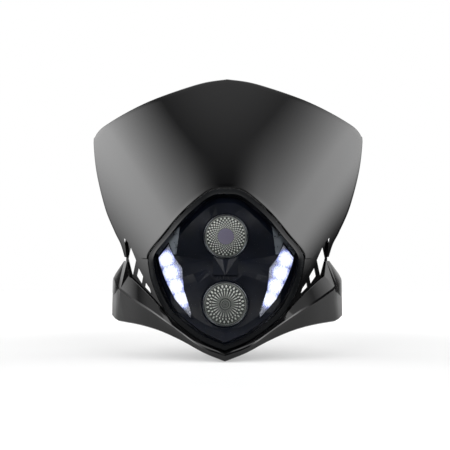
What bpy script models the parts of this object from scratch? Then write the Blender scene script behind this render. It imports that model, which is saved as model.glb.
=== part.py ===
"""Motorcycle headlight mask: a moulded shield and cowl round a lamp with two round lights
and two bolt-shaped LED clusters.

Metres, +Z up. The mask faces -Y and is symmetric about X = 0. The origin lies midway between
the four strap lugs, in the plane of their rear faces, where the fork legs pass.
"""
import math
from bisect import bisect_left

import bmesh
import bpy
from mathutils import Vector

# Outer skin: leans back as it rises and bends round the forks, flatter towards the top
SKIN_APEX_Y = -0.058
SKIN_LEAN = 0.40
SKIN_RISE_RADIUS = 1.250
SKIN_BEND_RADIUS = 0.200
SKIN_BEND_GROWTH = 0.55

# Mouldings
SHELL_WALL = 0.0030
EDGE_ROLL = 0.0014
SEAT_GAP = 0.0003
LENS_REVEAL = 0.0006
SHIELD_SEAT_SHARE = 0.5
COWL_SEAT_SHARE = 0.35

# Outlines seen from the front are written in stations, which follow the mask's main sizes.
# Across: 0 is the centre line, 1 the lamp window's widest point, 2 the shield's foot and 3 the
# outside of the wing. Up: 0 is the window's tip, 1 its shoulder and 2 its apex.

# Lamp window
LENS_APEX_Z = 0.100
LENS_SHOULDER_Z = 0.0146
LENS_TIP_Z = -0.0941
LENS_HALF_WIDTH = 0.0956
LENS_OUTLINE = [(0.0, 2.0), (0.191, 1.975), (0.394, 1.813), (0.597, 1.597), (0.800, 1.320),
                (0.955, 1.115), (1.0, 1.0), (0.984, 0.888), (0.948, 0.754), (0.858, 0.569),
                (0.745, 0.408), (0.600, 0.284), (0.290, 0.100), (0.0, 0.0)]
LENS_SPAN_STEPS = 6
LENS_SPOKES = 40
LAMP_CENTRE_DROP = 0.0066
LAMP_CENTRE_Z = LENS_SHOULDER_Z - LAMP_CENTRE_DROP

# Clear outer lens
LENS_WALL = 0.0025
LENS_PROUD = 0.0010
LENS_BULGE = 0.0080
LENS_EDGE_ROUND = 0.0035
LENS_SKIRT = 0.0140
LENS_DOME_ROWS = [0.25, 0.48, 0.68, 0.84, 0.94]

# Shield outline: shares of its width and height above the corner, and of its flare below it
SHIELD_TOP_Z = 0.2479
SHIELD_CORNER_Z = 0.165
SHIELD_HALF_WIDTH = 0.1795
SHIELD_FOOT_Z = 0.0162
SHIELD_FOOT_HALF_WIDTH = 0.1274
SHIELD_BROW = [(0.155, 0.951), (0.311, 0.857), (0.556, 0.683), (0.743, 0.513), (0.898, 0.345),
               (0.957, 0.258), (0.988, 0.165), (0.9995, 0.066)]
SHIELD_FLANK = [(0.868, 0.244), (0.580, 0.573), (0.286, 0.786), (0.117, 0.890)]
SHIELD_FOOT_ANGLE = math.radians(2.3)
SHIELD_ROWS = [0.0, 0.012, 0.33, 0.66, 0.984, 1.0]
SHIELD_SPAN_STEPS = 2

# Side scoop: the notch in the shield's lower edge that the louvre panel shows through
SCOOP = [(0.921, 0.774), (0.921, 0.942), (0.988, 0.942), (1.280, 0.989), (1.642, 1.152),
         (2.051, 1.297), (1.962, 1.145), (1.893, 0.976), (1.846, 0.774)]
LOUVRE_WALL = 0.0025
LOUVRE_SPAN_STEPS = 2
LOUVRE_COLUMNS = 4
LOUVRE_RIM = [(1.940, 1.385), (2.005, 1.239), (1.940, 1.005), (1.893, 0.829), (1.390, 0.659),
              (0.975, 0.535), (0.875, 0.470)]
LOUVRE_TOP_ANGLE = math.radians(6.9)
LOUVRE_FOOT_ANGLE = math.radians(-35.0)
LOUVRE_SLOTS = [
    [(1.745, 1.157), (1.833, 0.999), (1.632, 0.807), (1.506, 0.977)],
    [(1.384, 0.886), (1.450, 0.799), (1.239, 0.715), (1.192, 0.793)],
    [(1.069, 0.723), (1.091, 0.674), (0.950, 0.608), (0.968, 0.661)],
]

# Cowl: stations of its top edge, ridge and bottom edge, and how far each stands proud of the
# skin. The chin's top edge runs along the lens and takes its place from the lens outline.
WING_FLARE = 0.0195
WING_HALF_WIDTH = SHIELD_FOOT_HALF_WIDTH + WING_FLARE
CHIN_ANGLES = [math.radians(a) for a in (-90.0, -73.0, -47.5)]
COWL_TOP_WING = [(0.928, 0.545, 0.0), (1.289, 0.675, 0.0), (1.802, 0.798, 0.0),
                 (1.881, 0.969, 0.0), (2.010, 0.971, 0.0), (2.785, 0.823, -0.016)]
COWL_RIDGE = [(0.0, -0.031, 0.0035), (0.303, 0.063, 0.0040), (0.649, 0.263, 0.0070),
              (0.941, 0.424, 0.0100), (1.453, 0.525, 0.0120), (2.185, 0.645, 0.0130),
              (2.338, 0.672, 0.0110), (2.492, 0.691, 0.0080), (2.979, 0.755, -0.014)]
COWL_BOTTOM = [(0.0, -0.109, -0.0060), (0.262, -0.022, -0.0050), (0.523, 0.091, -0.0040),
               (0.816, 0.190, -0.0020), (1.296, 0.245, 0.0), (2.441, 0.272, 0.0010),
               (2.595, 0.282, 0.0010), (2.723, 0.291, 0.0), (3.0, 0.323, -0.006)]
COWL_CURVED_KEYS = 6
# Where the cowl's back surface lies behind each line of its front, in walls inwards and upwards
COWL_WALL_SHIFTS = [(0.65, -0.25), (1.1, 0.0), (1.25, 0.0), (1.25, 0.1), (1.1, 0.6), (0.9, 1.0),
                    (0.0, 1.0)]
WING_DEPTH = 0.030
WING_TOE_IN = 0.0040
WING_TAPER = 0.0030
COWL_FLANGE = 0.0220
COWL_FLANGE_RISE = 0.0040
RIDGE_CHAMFER = 0.0016
COWL_SPAN_STEPS = 3

# Strap lugs on the back of both mouldings
LUG_INSET = 0.0006
LUG_SPACING_X = 2 * (LENS_HALF_WIDTH - LUG_INSET)
LUG_SPACING_Z = 0.116
LUG_POST = 0.0100
LUG_HEAD_WIDTH = 0.0240
LUG_HEAD_HEIGHT = 0.0180
LUG_HEAD_THICKNESS = 0.0045
LUG_CORNER_SHARE = 0.2

# Lamp housing
GASKET_THICKNESS = 0.0018
HOUSING_WALL = 0.0025
HOUSING_RIM_DEPTH = 0.0120
HOUSING_INSET = 0.0012
HOUSING_DEPTH = 0.0380
HOUSING_BACK_LEAN = 0.22
HOUSING_BACK_SHARE = 0.74
HOUSING_FLOOR_SHARE = 0.71
HOUSING_MIDDLE_SHARE = 0.30
TURRET_RADIUS = 0.0210
TURRET_BORE = 0.0160
TURRET_LENGTH = 0.0100
TURRET_SINK = 0.0035

# Lamp housing ears and the screws that hold them to bosses on the mouldings
EAR_ANGLES = [math.radians(a) for a in (50.0, -40.0)]
EAR_REACH = 0.0080
EAR_HALF_WIDTH = 0.0054
EAR_THICKNESS = 0.0030
EAR_SINK = 0.0025
SCREW_RADIUS = 0.0020
SCREW_HEAD_RADIUS = 0.0042
SCREW_HEAD_HEIGHT = 0.0028
SCREW_LENGTH = 0.0080
SCREW_TIP_GAP = 0.0010
BOSS_WALL = 0.0024
BOSS_SIDES = 12

# Bezel: its profile on the centre line holds stations up and depths behind the skin
BEZEL_WALL = 0.0026
BEZEL_BAND = 0.0065
BEZEL_BAND_DEPTH = 0.0090
BEZEL_LIP_DEPTH = 0.0050
BEZEL_LIP_WIDTH = 0.0012
BEZEL_PROFILE = [(2.0, 0.0080), (1.696, -0.0009), (0.976, 0.0201), (0.810, 0.0059),
                 (0.277, 0.0193), (0.0, 0.0086)]
BEZEL_ROWS = [0.80, 0.62, 0.44, 0.26, 0.12]
RIB_HALF_WIDTH = 0.0150
RIB_HEIGHT = 0.0080
RIB_SINK = 0.0010
RIB_TOP = 1.040
RIB_FOOT = 0.810

# Round lights, whose axes run along Y: stations up, and depths behind the skin
UPPER_LIGHT = 1.303
UPPER_LIGHT_SETBACK = 0.0119
LOWER_LIGHT = 0.495
LOWER_LIGHT_SETBACK = 0.0107
LIGHT_GLASS_RADIUS = 0.0248
LIGHT_GLASS_THICKNESS = 0.0035
LIGHT_GLASS_DOME = 0.0030
LIGHT_RING_WALL = 0.0018
LIGHT_RING_DEPTH = 0.0060
LIGHT_RING_CROWN = 0.0014
LIGHT_HOLE_WALL = 0.0016
LIGHT_COLLAR_PROUD = 0.0010
LIGHT_COLLAR_DEPTH = 0.0070
FLUTE_COUNT = 24
FLUTE_DEPTH = 0.0007
HUB_RADIUS = 0.0075
GLASS_ROWS = [0.42, 0.68, 0.92]
REFLECTOR_WALL = 0.0014
REFLECTOR_LEDGE = 0.0010
REFLECTOR_DEPTH = 0.0270
REFLECTOR_NECK_RADIUS = 0.0098
REFLECTOR_NECK_LENGTH = 0.0060
BULB_RADIUS = 0.0055
BULB_LENGTH = 0.0240
BULB_TIP_LENGTH = 0.0035
HOLDER_CLEARANCE = 0.0010
HOLDER_RADIUS = TURRET_BORE - HOLDER_CLEARANCE
HOLDER_LIP = 0.0030
HOLDER_PLUG = 0.0080
HOLDER_PROUD = 0.0040
BOOT_WALL = 0.0020
BOOT_LENGTH = 0.0150
BOOT_LAP = 0.0060
BOOT_SHOULDER = 0.0030
BOOT_NECK_RADIUS = 0.0074
BOOT_NECK_FILLET = 0.0020

# LED clusters: outline of the right one. Its plane lies behind the lens's inner face by a
# setback at each of the outline's outer corners: above, at the side and at the lower tip.
BOLT = [(0.733, 1.190), (0.858, 1.002), (0.835, 0.918), (0.754, 0.744), (0.629, 0.545),
        (0.428, 0.351), (0.422, 0.394), (0.522, 0.658), (0.549, 0.889), (0.649, 0.996)]
LED_CORNERS = [0, 1, 5]
LED_SETBACKS = [0.0072, 0.0049, 0.0087]
LED_PLACES = [(0.758, 0.985), (0.695, 0.833), (0.630, 0.686), (0.555, 0.545)]
LED_COVER_THICKNESS = 0.0020
LED_COVER_CROWN = 0.0025
LED_COVER_BEVEL = 0.0025
LED_TRAY_DEPTH = 0.0140
LED_TRAY_WALL = 0.0014
LED_BOARD_THICKNESS = 0.0016
LED_RADIUS = 0.0025
LED_FLANGE = 0.0030
LED_FLANGE_HEIGHT = 0.0010
LED_HEIGHT = 0.0070
LED_SIDES = 8

# Bright trim above each LED cluster, and the corners where its plane meets the bezel
TRIM = [(0.586, 1.450), (0.633, 1.052), (0.669, 1.054), (0.732, 1.233), (0.868, 1.037),
        (0.889, 1.081), (0.805, 1.215), (0.711, 1.338)]
TRIM_CORNERS = [0, 1, 5]
TRIM_THICKNESS = 0.0012

# Wiring outlet and vent on the housing's back
GLAND_RADIUS = 0.0060
GLAND_BORE = 0.0030
GLAND_STEM_WALL = 0.0006
GLAND_LENGTH = 0.0120
GLAND_X = 0.0
GLAND_FLANGE = 0.0030
VENT_X = 0.0300
VENT_RADIUS = 0.0050
VENT_STEM_RADIUS = 0.0030
VENT_LENGTH = 0.0070
REAR_FITTING_RISE = 0.0019
STEM_LENGTH = 0.0060

# How finely round pieces are divided
CIRCLE = 24
SMALL_CIRCLE = 12

# Depths in front of and behind everything, for cuts that go right through
CUT_FRONT_Y = -0.150
CUT_BACK_Y = 0.060
STRAIGHT_BACK = Vector((0.0, 1.0, 0.0))


def station(value, marks):
    """Distance at a station: each whole number is one of the marks."""
    lower = min(max(int(value), 0), len(marks) - 2)
    return marks[lower] + (value - lower) * (marks[lower + 1] - marks[lower])


def across(value):
    """Distance from the centre line at a station across."""
    return station(value, [0.0, LENS_HALF_WIDTH, SHIELD_FOOT_HALF_WIDTH, WING_HALF_WIDTH])


def height(value):
    """Height at a station up."""
    return station(value, [LENS_TIP_Z, LENS_SHOULDER_Z, LENS_APEX_Z])


def placed(outline):
    """Outline written in stations, as x and z."""
    return [(across(a), height(u)) for a, u in outline]


def skin_y(x, z):
    """Depth of the outer skin at a point seen from the front."""
    rise = z - LENS_APEX_Z
    bend = SKIN_BEND_RADIUS + SKIN_BEND_GROWTH * rise
    return (SKIN_APEX_Y + SKIN_LEAN * rise + rise * rise / (2 * SKIN_RISE_RADIUS)
            + x * x / (2 * bend))


def skin_stretch(x, z):
    """How much longer a wall's depth along Y is than its true thickness on the sloping skin."""
    step = 0.0005
    slope_x = (skin_y(x + step, z) - skin_y(x - step, z)) / (2 * step)
    slope_z = (skin_y(x, z + step) - skin_y(x, z - step)) / (2 * step)
    return math.sqrt(1 + slope_x ** 2 + slope_z ** 2)


def behind_skin(x, z, depth):
    """Point a true depth behind the skin, straight back along Y."""
    return Vector((x, skin_y(x, z) + depth * skin_stretch(x, z), z))


def smooth_path(keys, steps):
    """Points along a smooth curve through the keys, with each span in equal steps."""
    first = 2 * keys[0] - keys[1]
    last = 2 * keys[-1] - keys[-2]
    padded = [first] + list(keys) + [last]
    points = []
    for i in range(1, len(padded) - 2):
        a, b, c, d = padded[i - 1:i + 3]
        for k in range(steps):
            t = k / steps
            points.append(0.5 * ((2 * b) + (c - a) * t + (2 * a - 5 * b + 4 * c - d) * t ** 2
                                 + (3 * b - a - 3 * c + d) * t ** 3))
    points.append(keys[-1].copy())
    return points


def polar_table(points):
    """Angles and radii of an outline's right half about the lamp centre, angles rising."""
    pairs = []
    for point in points:
        dx = point.x
        dz = point.y - LAMP_CENTRE_Z
        pairs.append((math.atan2(dz, dx), math.hypot(dx, dz)))
    pairs.sort()
    return [p[0] for p in pairs], [p[1] for p in pairs]


LENS_TABLE = polar_table(smooth_path([Vector(p) for p in placed(LENS_OUTLINE)], LENS_SPAN_STEPS))


def lens_radius(angle):
    """Radius of the lamp window about the lamp centre at an angle above +X."""
    folded = math.atan2(math.sin(angle), abs(math.cos(angle)))
    angles, radii = LENS_TABLE
    upper = min(max(bisect_left(angles, folded), 1), len(angles) - 1)
    lower = upper - 1
    share = (folded - angles[lower]) / (angles[upper] - angles[lower])
    share = min(max(share, 0.0), 1.0)
    return radii[lower] + share * (radii[upper] - radii[lower])


def window_share(x, z):
    """Share of the way from the lamp centre to the lamp window's edge."""
    dz = z - LAMP_CENTRE_Z
    return math.hypot(x, dz) / lens_radius(math.atan2(dz, x))


def lens_place(angle, outside):
    """Point at a true distance outside the lamp window's edge, as x, z."""
    step = 0.02
    radius = lens_radius(angle)
    slope = (lens_radius(angle + step) - lens_radius(angle - step)) / (2 * step * radius)
    reach = radius + outside * math.sqrt(1 + slope * slope)
    return reach * math.cos(angle), LAMP_CENTRE_Z + reach * math.sin(angle)


def spokes():
    """Angles of the lamp window's spokes, once round."""
    return [2 * math.pi * k / LENS_SPOKES - math.pi / 2 for k in range(LENS_SPOKES)]


def lens_ring(outside, depth):
    """Ring along the lamp window's edge, a true distance outside it and a depth behind the skin."""
    ring = []
    for angle in spokes():
        edge_x, edge_z = lens_place(angle, 0.0)
        x, z = lens_place(angle, outside)
        ring.append(Vector((x, skin_y(edge_x, edge_z) + depth, z)))
    return ring


def share_ring(share, surface):
    """Ring at a share of the way from the lamp centre to its edge, on a surface y = f(x, z, share)."""
    ring = []
    for angle in spokes():
        reach = share * lens_radius(angle)
        x = reach * math.cos(angle)
        z = LAMP_CENTRE_Z + reach * math.sin(angle)
        ring.append(Vector((x, surface(x, z, share), z)))
    return ring


def finished(name, bm, material):
    """Object from a mesh whose faces are turned outwards, shaded smooth with sharp edges kept."""
    bmesh.ops.recalc_face_normals(bm, faces=bm.faces)
    mesh = bpy.data.meshes.new(name)
    bm.to_mesh(mesh)
    bm.free()
    mesh.materials.append(material)
    mesh.shade_smooth()
    mesh.set_sharp_from_angle(angle=math.radians(28))
    obj = bpy.data.objects.new(name, mesh)
    bpy.context.scene.collection.objects.link(obj)
    return obj


def loft(rings, start=None, end=None, closed=False):
    """Closed mesh through rings of points, ended by poles, by flat caps or joined end to end."""
    bm = bmesh.new()
    loops = [[bm.verts.new(p) for p in ring] for ring in rings]
    pairs = list(zip(loops, loops[1:]))
    if closed:
        pairs.append((loops[-1], loops[0]))
    count = len(loops[0])
    for a, b in pairs:
        for k in range(count):
            n = (k + 1) % count
            bm.faces.new((a[k], a[n], b[n], b[k]))
    if not closed:
        for loop, pole in ((loops[0], start), (loops[-1], end)):
            if pole is None:
                bm.faces.new(loop)
                continue
            tip = bm.verts.new(pole)
            for k in range(count):
                bm.faces.new((loop[k], loop[(k + 1) % count], tip))
    return bm


def sheet(front, back):
    """Closed wall between two grids of points that have the same rows and columns."""
    bm = bmesh.new()
    layers = [[[bm.verts.new(p) for p in row] for row in grid] for grid in (front, back)]
    rows = len(front)
    columns = len(front[0])
    for layer in layers:
        for i in range(rows - 1):
            for j in range(columns - 1):
                bm.faces.new((layer[i][j], layer[i + 1][j], layer[i + 1][j + 1], layer[i][j + 1]))
    border = [(i, 0) for i in range(rows)]
    border += [(rows - 1, j) for j in range(1, columns)]
    border += [(i, columns - 1) for i in reversed(range(rows - 1))]
    border += [(0, j) for j in reversed(range(1, columns - 1))]
    for a, b in zip(border, border[1:] + border[:1]):
        bm.faces.new((layers[0][a[0]][a[1]], layers[0][b[0]][b[1]],
                      layers[1][b[0]][b[1]], layers[1][a[0]][a[1]]))
    return bm


def turned(profile, x, y, z, segments=CIRCLE):
    """Round body about an axis along Y. The profile holds radius and depth from y backwards."""
    rings = []
    poles = {}
    for index, (radius, depth) in enumerate(profile):
        if radius == 0.0:
            poles[index] = Vector((x, y + depth, z))
            continue
        ring = []
        for k in range(segments):
            angle = 2 * math.pi * (k + 0.5) / segments
            ring.append(Vector((x + radius * math.cos(angle), y + depth,
                                z + radius * math.sin(angle))))
        rings.append(ring)
    closed = not poles
    return loft(rings, poles.get(0), poles.get(len(profile) - 1), closed)


def prism(outline, near, far):
    """Straight-sided body along Y over an outline, between two depths that may vary with x, z."""
    rings = [[Vector((x, depth(x, z), z)) for x, z in outline] for depth in (near, far)]
    return loft(rings)


def level(y):
    """A depth that is the same everywhere."""
    return lambda x, z: y


def offset_outline(outline, distance):
    """Outline moved outwards by a distance, or inwards when it is negative."""
    area = 0.0
    count = len(outline)
    for k in range(count):
        x0, z0 = outline[k]
        x1, z1 = outline[(k + 1) % count]
        area += x0 * z1 - x1 * z0
    turn = 1.0 if area > 0 else -1.0
    moved = []
    for k in range(count):
        before = Vector(outline[k]) - Vector(outline[k - 1])
        after = Vector(outline[(k + 1) % count]) - Vector(outline[k])
        before.normalize()
        after.normalize()
        normal_a = Vector((before.y, -before.x)) * turn
        normal_b = Vector((after.y, -after.x)) * turn
        mitre = normal_a + normal_b
        scale = distance / max(mitre.dot(normal_a), 0.45)
        moved.append((outline[k][0] + mitre.x * scale, outline[k][1] + mitre.y * scale))
    return moved


def sided(outline, side):
    """Outline on the right side, or its mirror image on the left."""
    return [(side * x, z) for x, z in outline]


def cutter(name, bm):
    """A hidden tool body for a Boolean cut or union."""
    bmesh.ops.recalc_face_normals(bm, faces=bm.faces)
    mesh = bpy.data.meshes.new(name)
    bm.to_mesh(mesh)
    bm.free()
    obj = bpy.data.objects.new(name, mesh)
    bpy.context.scene.collection.objects.link(obj)
    obj.hide_render = True
    obj.display_type = 'WIRE'
    return obj


def combine(target, name, bm, operation):
    """Cuts a tool body from the target, or joins it on."""
    tool = cutter(name, bm)
    modifier = target.modifiers.new(name, 'BOOLEAN')
    modifier.operation = operation
    modifier.solver = 'EXACT'
    modifier.object = tool


def make_material(name, colour, roughness, metallic=0.0, alpha=1.0):
    """Principled material with the part's colour, roughness and metallic value."""
    material = bpy.data.materials.new(name)
    material.use_nodes = True
    shader = material.node_tree.nodes["Principled BSDF"]
    shader.inputs["Base Color"].default_value = (*colour, 1.0)
    shader.inputs["Roughness"].default_value = roughness
    shader.inputs["Metallic"].default_value = metallic
    shader.inputs["Alpha"].default_value = alpha
    material.diffuse_color = (*colour, alpha)
    return material


def lens_front(x, z, share):
    """Front of the clear lens: a shallow dome over the skin."""
    return skin_y(x, z) - LENS_PROUD - LENS_BULGE * (1 - share * share)


def lens_inside(x, z, share):
    """Inner face of the clear lens."""
    return lens_front(x, z, share) + LENS_WALL * skin_stretch(x, z)


def make_lens(material):
    """Clear lens: dome, rounded shoulder and a skirt that runs back to the gasket."""
    rings = [share_ring(share, lens_front) for share in LENS_DOME_ROWS]
    rings.append(lens_ring(-LENS_EDGE_ROUND, -LENS_PROUD))
    rings.append(lens_ring(-0.3 * LENS_EDGE_ROUND, 0.3 * LENS_EDGE_ROUND))
    rings.append(lens_ring(0.0, LENS_EDGE_ROUND))
    rings.append(lens_ring(0.0, LENS_SKIRT))
    rings.append(lens_ring(-LENS_WALL, LENS_SKIRT))
    rings.append(lens_ring(-LENS_WALL, LENS_EDGE_ROUND + 0.5 * LENS_WALL))
    rings += [share_ring(share, lens_inside) for share in reversed(LENS_DOME_ROWS[:-1])]
    front_pole = Vector((0.0, lens_front(0.0, LAMP_CENTRE_Z, 0.0), LAMP_CENTRE_Z))
    back_pole = Vector((0.0, lens_inside(0.0, LAMP_CENTRE_Z, 0.0), LAMP_CENTRE_Z))
    return finished("lamp_lens", loft(rings, front_pole, back_pole), material)


def make_gasket(material):
    """Rubber ring between the lens skirt and the housing's rim."""
    front = LENS_SKIRT + SEAT_GAP
    back = front + GASKET_THICKNESS
    rings = [lens_ring(0.0, front), lens_ring(0.0, back), lens_ring(-LENS_WALL, back),
             lens_ring(-LENS_WALL, front)]
    return finished("lens_gasket", loft(rings, closed=True), material)


def housing_rim_depth():
    """Depth of the housing's rim behind the skin."""
    return LENS_SKIRT + GASKET_THICKNESS + 2 * SEAT_GAP


def housing_back(z):
    """Depth of the housing's rear face, which leans back as it rises."""
    return SKIN_APEX_Y + HOUSING_DEPTH + HOUSING_BACK_LEAN * (z - LAMP_CENTRE_Z)


def lights():
    """Name, height and depth of each round light."""
    found = []
    for name, up, setback in (("upper", UPPER_LIGHT, UPPER_LIGHT_SETBACK),
                              ("lower", LOWER_LIGHT, LOWER_LIGHT_SETBACK)):
        z = height(up)
        found.append((name, z, skin_y(0.0, z) + setback))
    return found


def turret_end(z):
    """Depth of the end of a light's turret on the housing."""
    return housing_back(z + TURRET_RADIUS) + TURRET_LENGTH


def ear_frame(side, angle):
    """Centre of an ear's screw, seen from the front, and the ear's outward direction."""
    x, z = lens_place(angle, EAR_REACH)
    direction = Vector((side * math.cos(angle), math.sin(angle)))
    return side * x, z, direction


def ear_front(angle):
    """Depth of an ear's front face: halfway along the straight rim of the housing."""
    edge_x, edge_z = lens_place(angle, 0.0)
    return skin_y(edge_x, edge_z) + housing_rim_depth() + 0.5 * HOUSING_RIM_DEPTH


def ear_outline(side, angle):
    """Ear from inside the housing's wall to a round end about its screw."""
    x, z, out = ear_frame(side, angle)
    across = Vector((-out.y, out.x))
    centre = Vector((x, z))
    wall_x, wall_z = lens_place(angle, -EAR_SINK)
    foot = Vector((side * wall_x, wall_z))
    points = [foot - across * EAR_HALF_WIDTH]
    for k in range(9):
        turn = math.pi * (k / 8 - 0.5)
        points.append(centre + EAR_HALF_WIDTH * (out * math.cos(turn) + across * math.sin(turn)))
    points.append(foot + across * EAR_HALF_WIDTH)
    return [(p.x, p.y) for p in points]


def make_housing(material):
    """Bucket behind the lens: straight rim, sloping sides, leaning back wall and two turrets."""
    rim = housing_rim_depth()
    side = rim + HOUSING_RIM_DEPTH
    inner = HOUSING_INSET + HOUSING_WALL

    def outer_back(x, z, share):
        return housing_back(z)

    def inner_back(x, z, share):
        return housing_back(z) - HOUSING_WALL

    rings = [share_ring(HOUSING_MIDDLE_SHARE, outer_back), share_ring(HOUSING_BACK_SHARE, outer_back),
             lens_ring(-HOUSING_INSET, side), lens_ring(-HOUSING_INSET, rim),
             lens_ring(-inner, rim), lens_ring(-inner, side),
             share_ring(HOUSING_FLOOR_SHARE, inner_back), share_ring(HOUSING_MIDDLE_SHARE, inner_back)]
    back_pole = Vector((0.0, housing_back(LAMP_CENTRE_Z), LAMP_CENTRE_Z))
    front_pole = back_pole - Vector((0.0, HOUSING_WALL, 0.0))
    housing = finished("lamp_housing", loft(rings, back_pole, front_pole), material)
    for name, z, _ in lights():
        start = housing_back(z - TURRET_RADIUS) - TURRET_SINK
        length = turret_end(z) - start
        opening = 0.5 * (TURRET_RADIUS + TURRET_BORE)
        combine(housing, name + "_opening", drill(0.0, z, opening, CIRCLE), 'DIFFERENCE')
        tube = [(TURRET_BORE, 0.0), (TURRET_RADIUS, 0.0), (TURRET_RADIUS, length), (TURRET_BORE, length)]
        combine(housing, name + "_turret", turned(tube, 0.0, start, z), 'UNION')
    for side_sign in (-1, 1):
        for index, angle in enumerate(EAR_ANGLES):
            front = ear_front(angle)
            label = f"ear_{index}_{'left' if side_sign < 0 else 'right'}"
            combine(housing, label, prism(ear_outline(side_sign, angle), level(front),
                                          level(front + EAR_THICKNESS)), 'UNION')
            x, z, _ = ear_frame(side_sign, angle)
            combine(housing, label + "_hole", drill(x, z, SCREW_RADIUS + SEAT_GAP), 'DIFFERENCE')
    for label, x, stem in (("gland_hole", GLAND_X, GLAND_BORE + GLAND_STEM_WALL),
                           ("vent_hole", VENT_X, VENT_STEM_RADIUS)):
        combine(housing, label, drill(x, rear_fitting_z(), stem + SEAT_GAP), 'DIFFERENCE')
    return housing


def rear_fitting_z():
    """Height of the gland and the breather: a little above halfway between the lights."""
    upper, lower = [z for _, z, _ in lights()]
    return 0.5 * (upper + lower) + REAR_FITTING_RISE


def pin(x, y, z, radius, length, segments=SMALL_CIRCLE):
    """Plain round bar along Y, starting at y."""
    return turned([(0.0, 0.0), (radius, 0.0), (radius, length), (0.0, length)], x, y, z, segments)


def drill(x, z, radius, segments=SMALL_CIRCLE):
    """Round cut along Y that goes right through everything."""
    return pin(x, CUT_FRONT_Y, z, radius, CUT_BACK_Y - CUT_FRONT_Y, segments)


def bezel_depth(z):
    """Depth of the bezel behind the skin on the centre line: a stepped profile."""
    profile = [(height(up), depth) for up, depth in BEZEL_PROFILE]
    for (z0, depth0), (z1, depth1) in zip(profile, profile[1:]):
        if z >= z1:
            share = min(max((z0 - z) / (z0 - z1), 0.0), 1.0)
            return depth0 + share * (depth1 - depth0)
    return profile[-1][1]


def bezel_front(x, z, share):
    """Front of the bezel: the stepped profile at its middle, the skin's sweep towards its edge."""
    dish = bezel_depth(z) - BEZEL_LIP_DEPTH
    return skin_y(x, z) + BEZEL_LIP_DEPTH + dish * (1 - share ** 3)


def make_bezel(material):
    """Bezel: outer band, raised lip, stepped dish, peaked rib, light holes and LED windows."""
    inner_edge = LENS_WALL + SEAT_GAP
    band = inner_edge + BEZEL_BAND
    front = [lens_ring(-inner_edge, BEZEL_BAND_DEPTH), lens_ring(-band, BEZEL_BAND_DEPTH),
             lens_ring(-band - BEZEL_LIP_WIDTH, BEZEL_LIP_DEPTH)]
    front += [share_ring(row, bezel_front) for row in BEZEL_ROWS]
    back = [[point + Vector((0.0, BEZEL_WALL, 0.0)) for point in ring] for ring in front]
    front_pole = Vector((0.0, bezel_front(0.0, LAMP_CENTRE_Z, 0.0), LAMP_CENTRE_Z))
    back_pole = front_pole + Vector((0.0, BEZEL_WALL, 0.0))
    bezel = finished("lamp_bezel", loft(list(reversed(front)) + back, front_pole, back_pole), material)
    rib = []
    for up, rise in ((RIB_TOP, RIB_HEIGHT), (RIB_FOOT, RIB_SINK)):
        z = height(up)
        y = skin_y(0.0, z) + bezel_depth(z)
        rib.append([Vector((-RIB_HALF_WIDTH, y + RIB_SINK, z)), Vector((0.0, y - rise, z)),
                    Vector((RIB_HALF_WIDTH, y + RIB_SINK, z))])
    combine(bezel, "rib", loft(rib), 'UNION')
    for side, label in ((-1, "left"), (1, "right")):
        window = sided(offset_outline(placed(BOLT), SEAT_GAP), side)
        combine(bezel, "led_window_" + label, prism(window, level(CUT_FRONT_Y), level(CUT_BACK_Y)),
                'DIFFERENCE')
        seat = sided(offset_outline(placed(TRIM), SEAT_GAP), side)
        floor = trim_depth(side, TRIM_THICKNESS + SEAT_GAP)
        combine(bezel, "trim_seat_" + label, prism(seat, level(CUT_FRONT_Y), floor), 'DIFFERENCE')
    hole = LIGHT_GLASS_RADIUS + LIGHT_RING_WALL + 2 * SEAT_GAP
    outside = hole + LIGHT_HOLE_WALL
    for name, z, _ in lights():
        combine(bezel, name + "_light_hole", drill(0.0, z, 0.5 * (hole + outside), CIRCLE), 'DIFFERENCE')
    for name, z, y in lights():
        collar = [(hole, -LIGHT_COLLAR_PROUD), (outside, -LIGHT_COLLAR_PROUD),
                  (outside, LIGHT_COLLAR_DEPTH), (hole, LIGHT_COLLAR_DEPTH)]
        combine(bezel, name + "_collar", turned(collar, 0.0, y, z), 'UNION')
    return bezel


def plane_through(corners):
    """Depth of the plane through three points, as a function of x and z."""
    (x0, y0, z0), (x1, y1, z1), (x2, y2, z2) = corners
    spread = (x1 - x0) * (z2 - z0) - (x2 - x0) * (z1 - z0)
    slope_x = ((y1 - y0) * (z2 - z0) - (y2 - y0) * (z1 - z0)) / spread
    slope_z = ((x1 - x0) * (y2 - y0) - (x2 - x0) * (y1 - y0)) / spread
    return lambda x, z: y0 + slope_x * (x - x0) + slope_z * (z - z0)


def trim_depth(side, behind):
    """Depth a distance behind the front of the bright trim, half of which stands out of the bezel."""
    outline = placed(TRIM)
    corners = []
    for x, z in (outline[index] for index in TRIM_CORNERS):
        corners.append((x, bezel_front(x, z, window_share(x, z)), z))
    plane = plane_through(corners)
    return lambda x, z: plane(side * x, z) + behind - TRIM_THICKNESS / 2


def make_trims(material):
    """Bright trim plate above each LED cluster, let into the bezel."""
    for side, label in ((-1, "left"), (1, "right")):
        outline = sided(placed(TRIM), side)
        plate = prism(outline, trim_depth(side, 0.0), trim_depth(side, TRIM_THICKNESS))
        finished("side_trim_" + label, plate, material)


def led_plane(side, behind):
    """Depth a distance behind the plane of an LED cluster."""
    outline = placed(BOLT)
    corners = []
    for index, setback in zip(LED_CORNERS, LED_SETBACKS):
        x, z = outline[index]
        corners.append((x, lens_inside(x, z, window_share(x, z)) + setback, z))
    plane = plane_through(corners)
    return lambda x, z: plane(side * x, z) + behind


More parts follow.
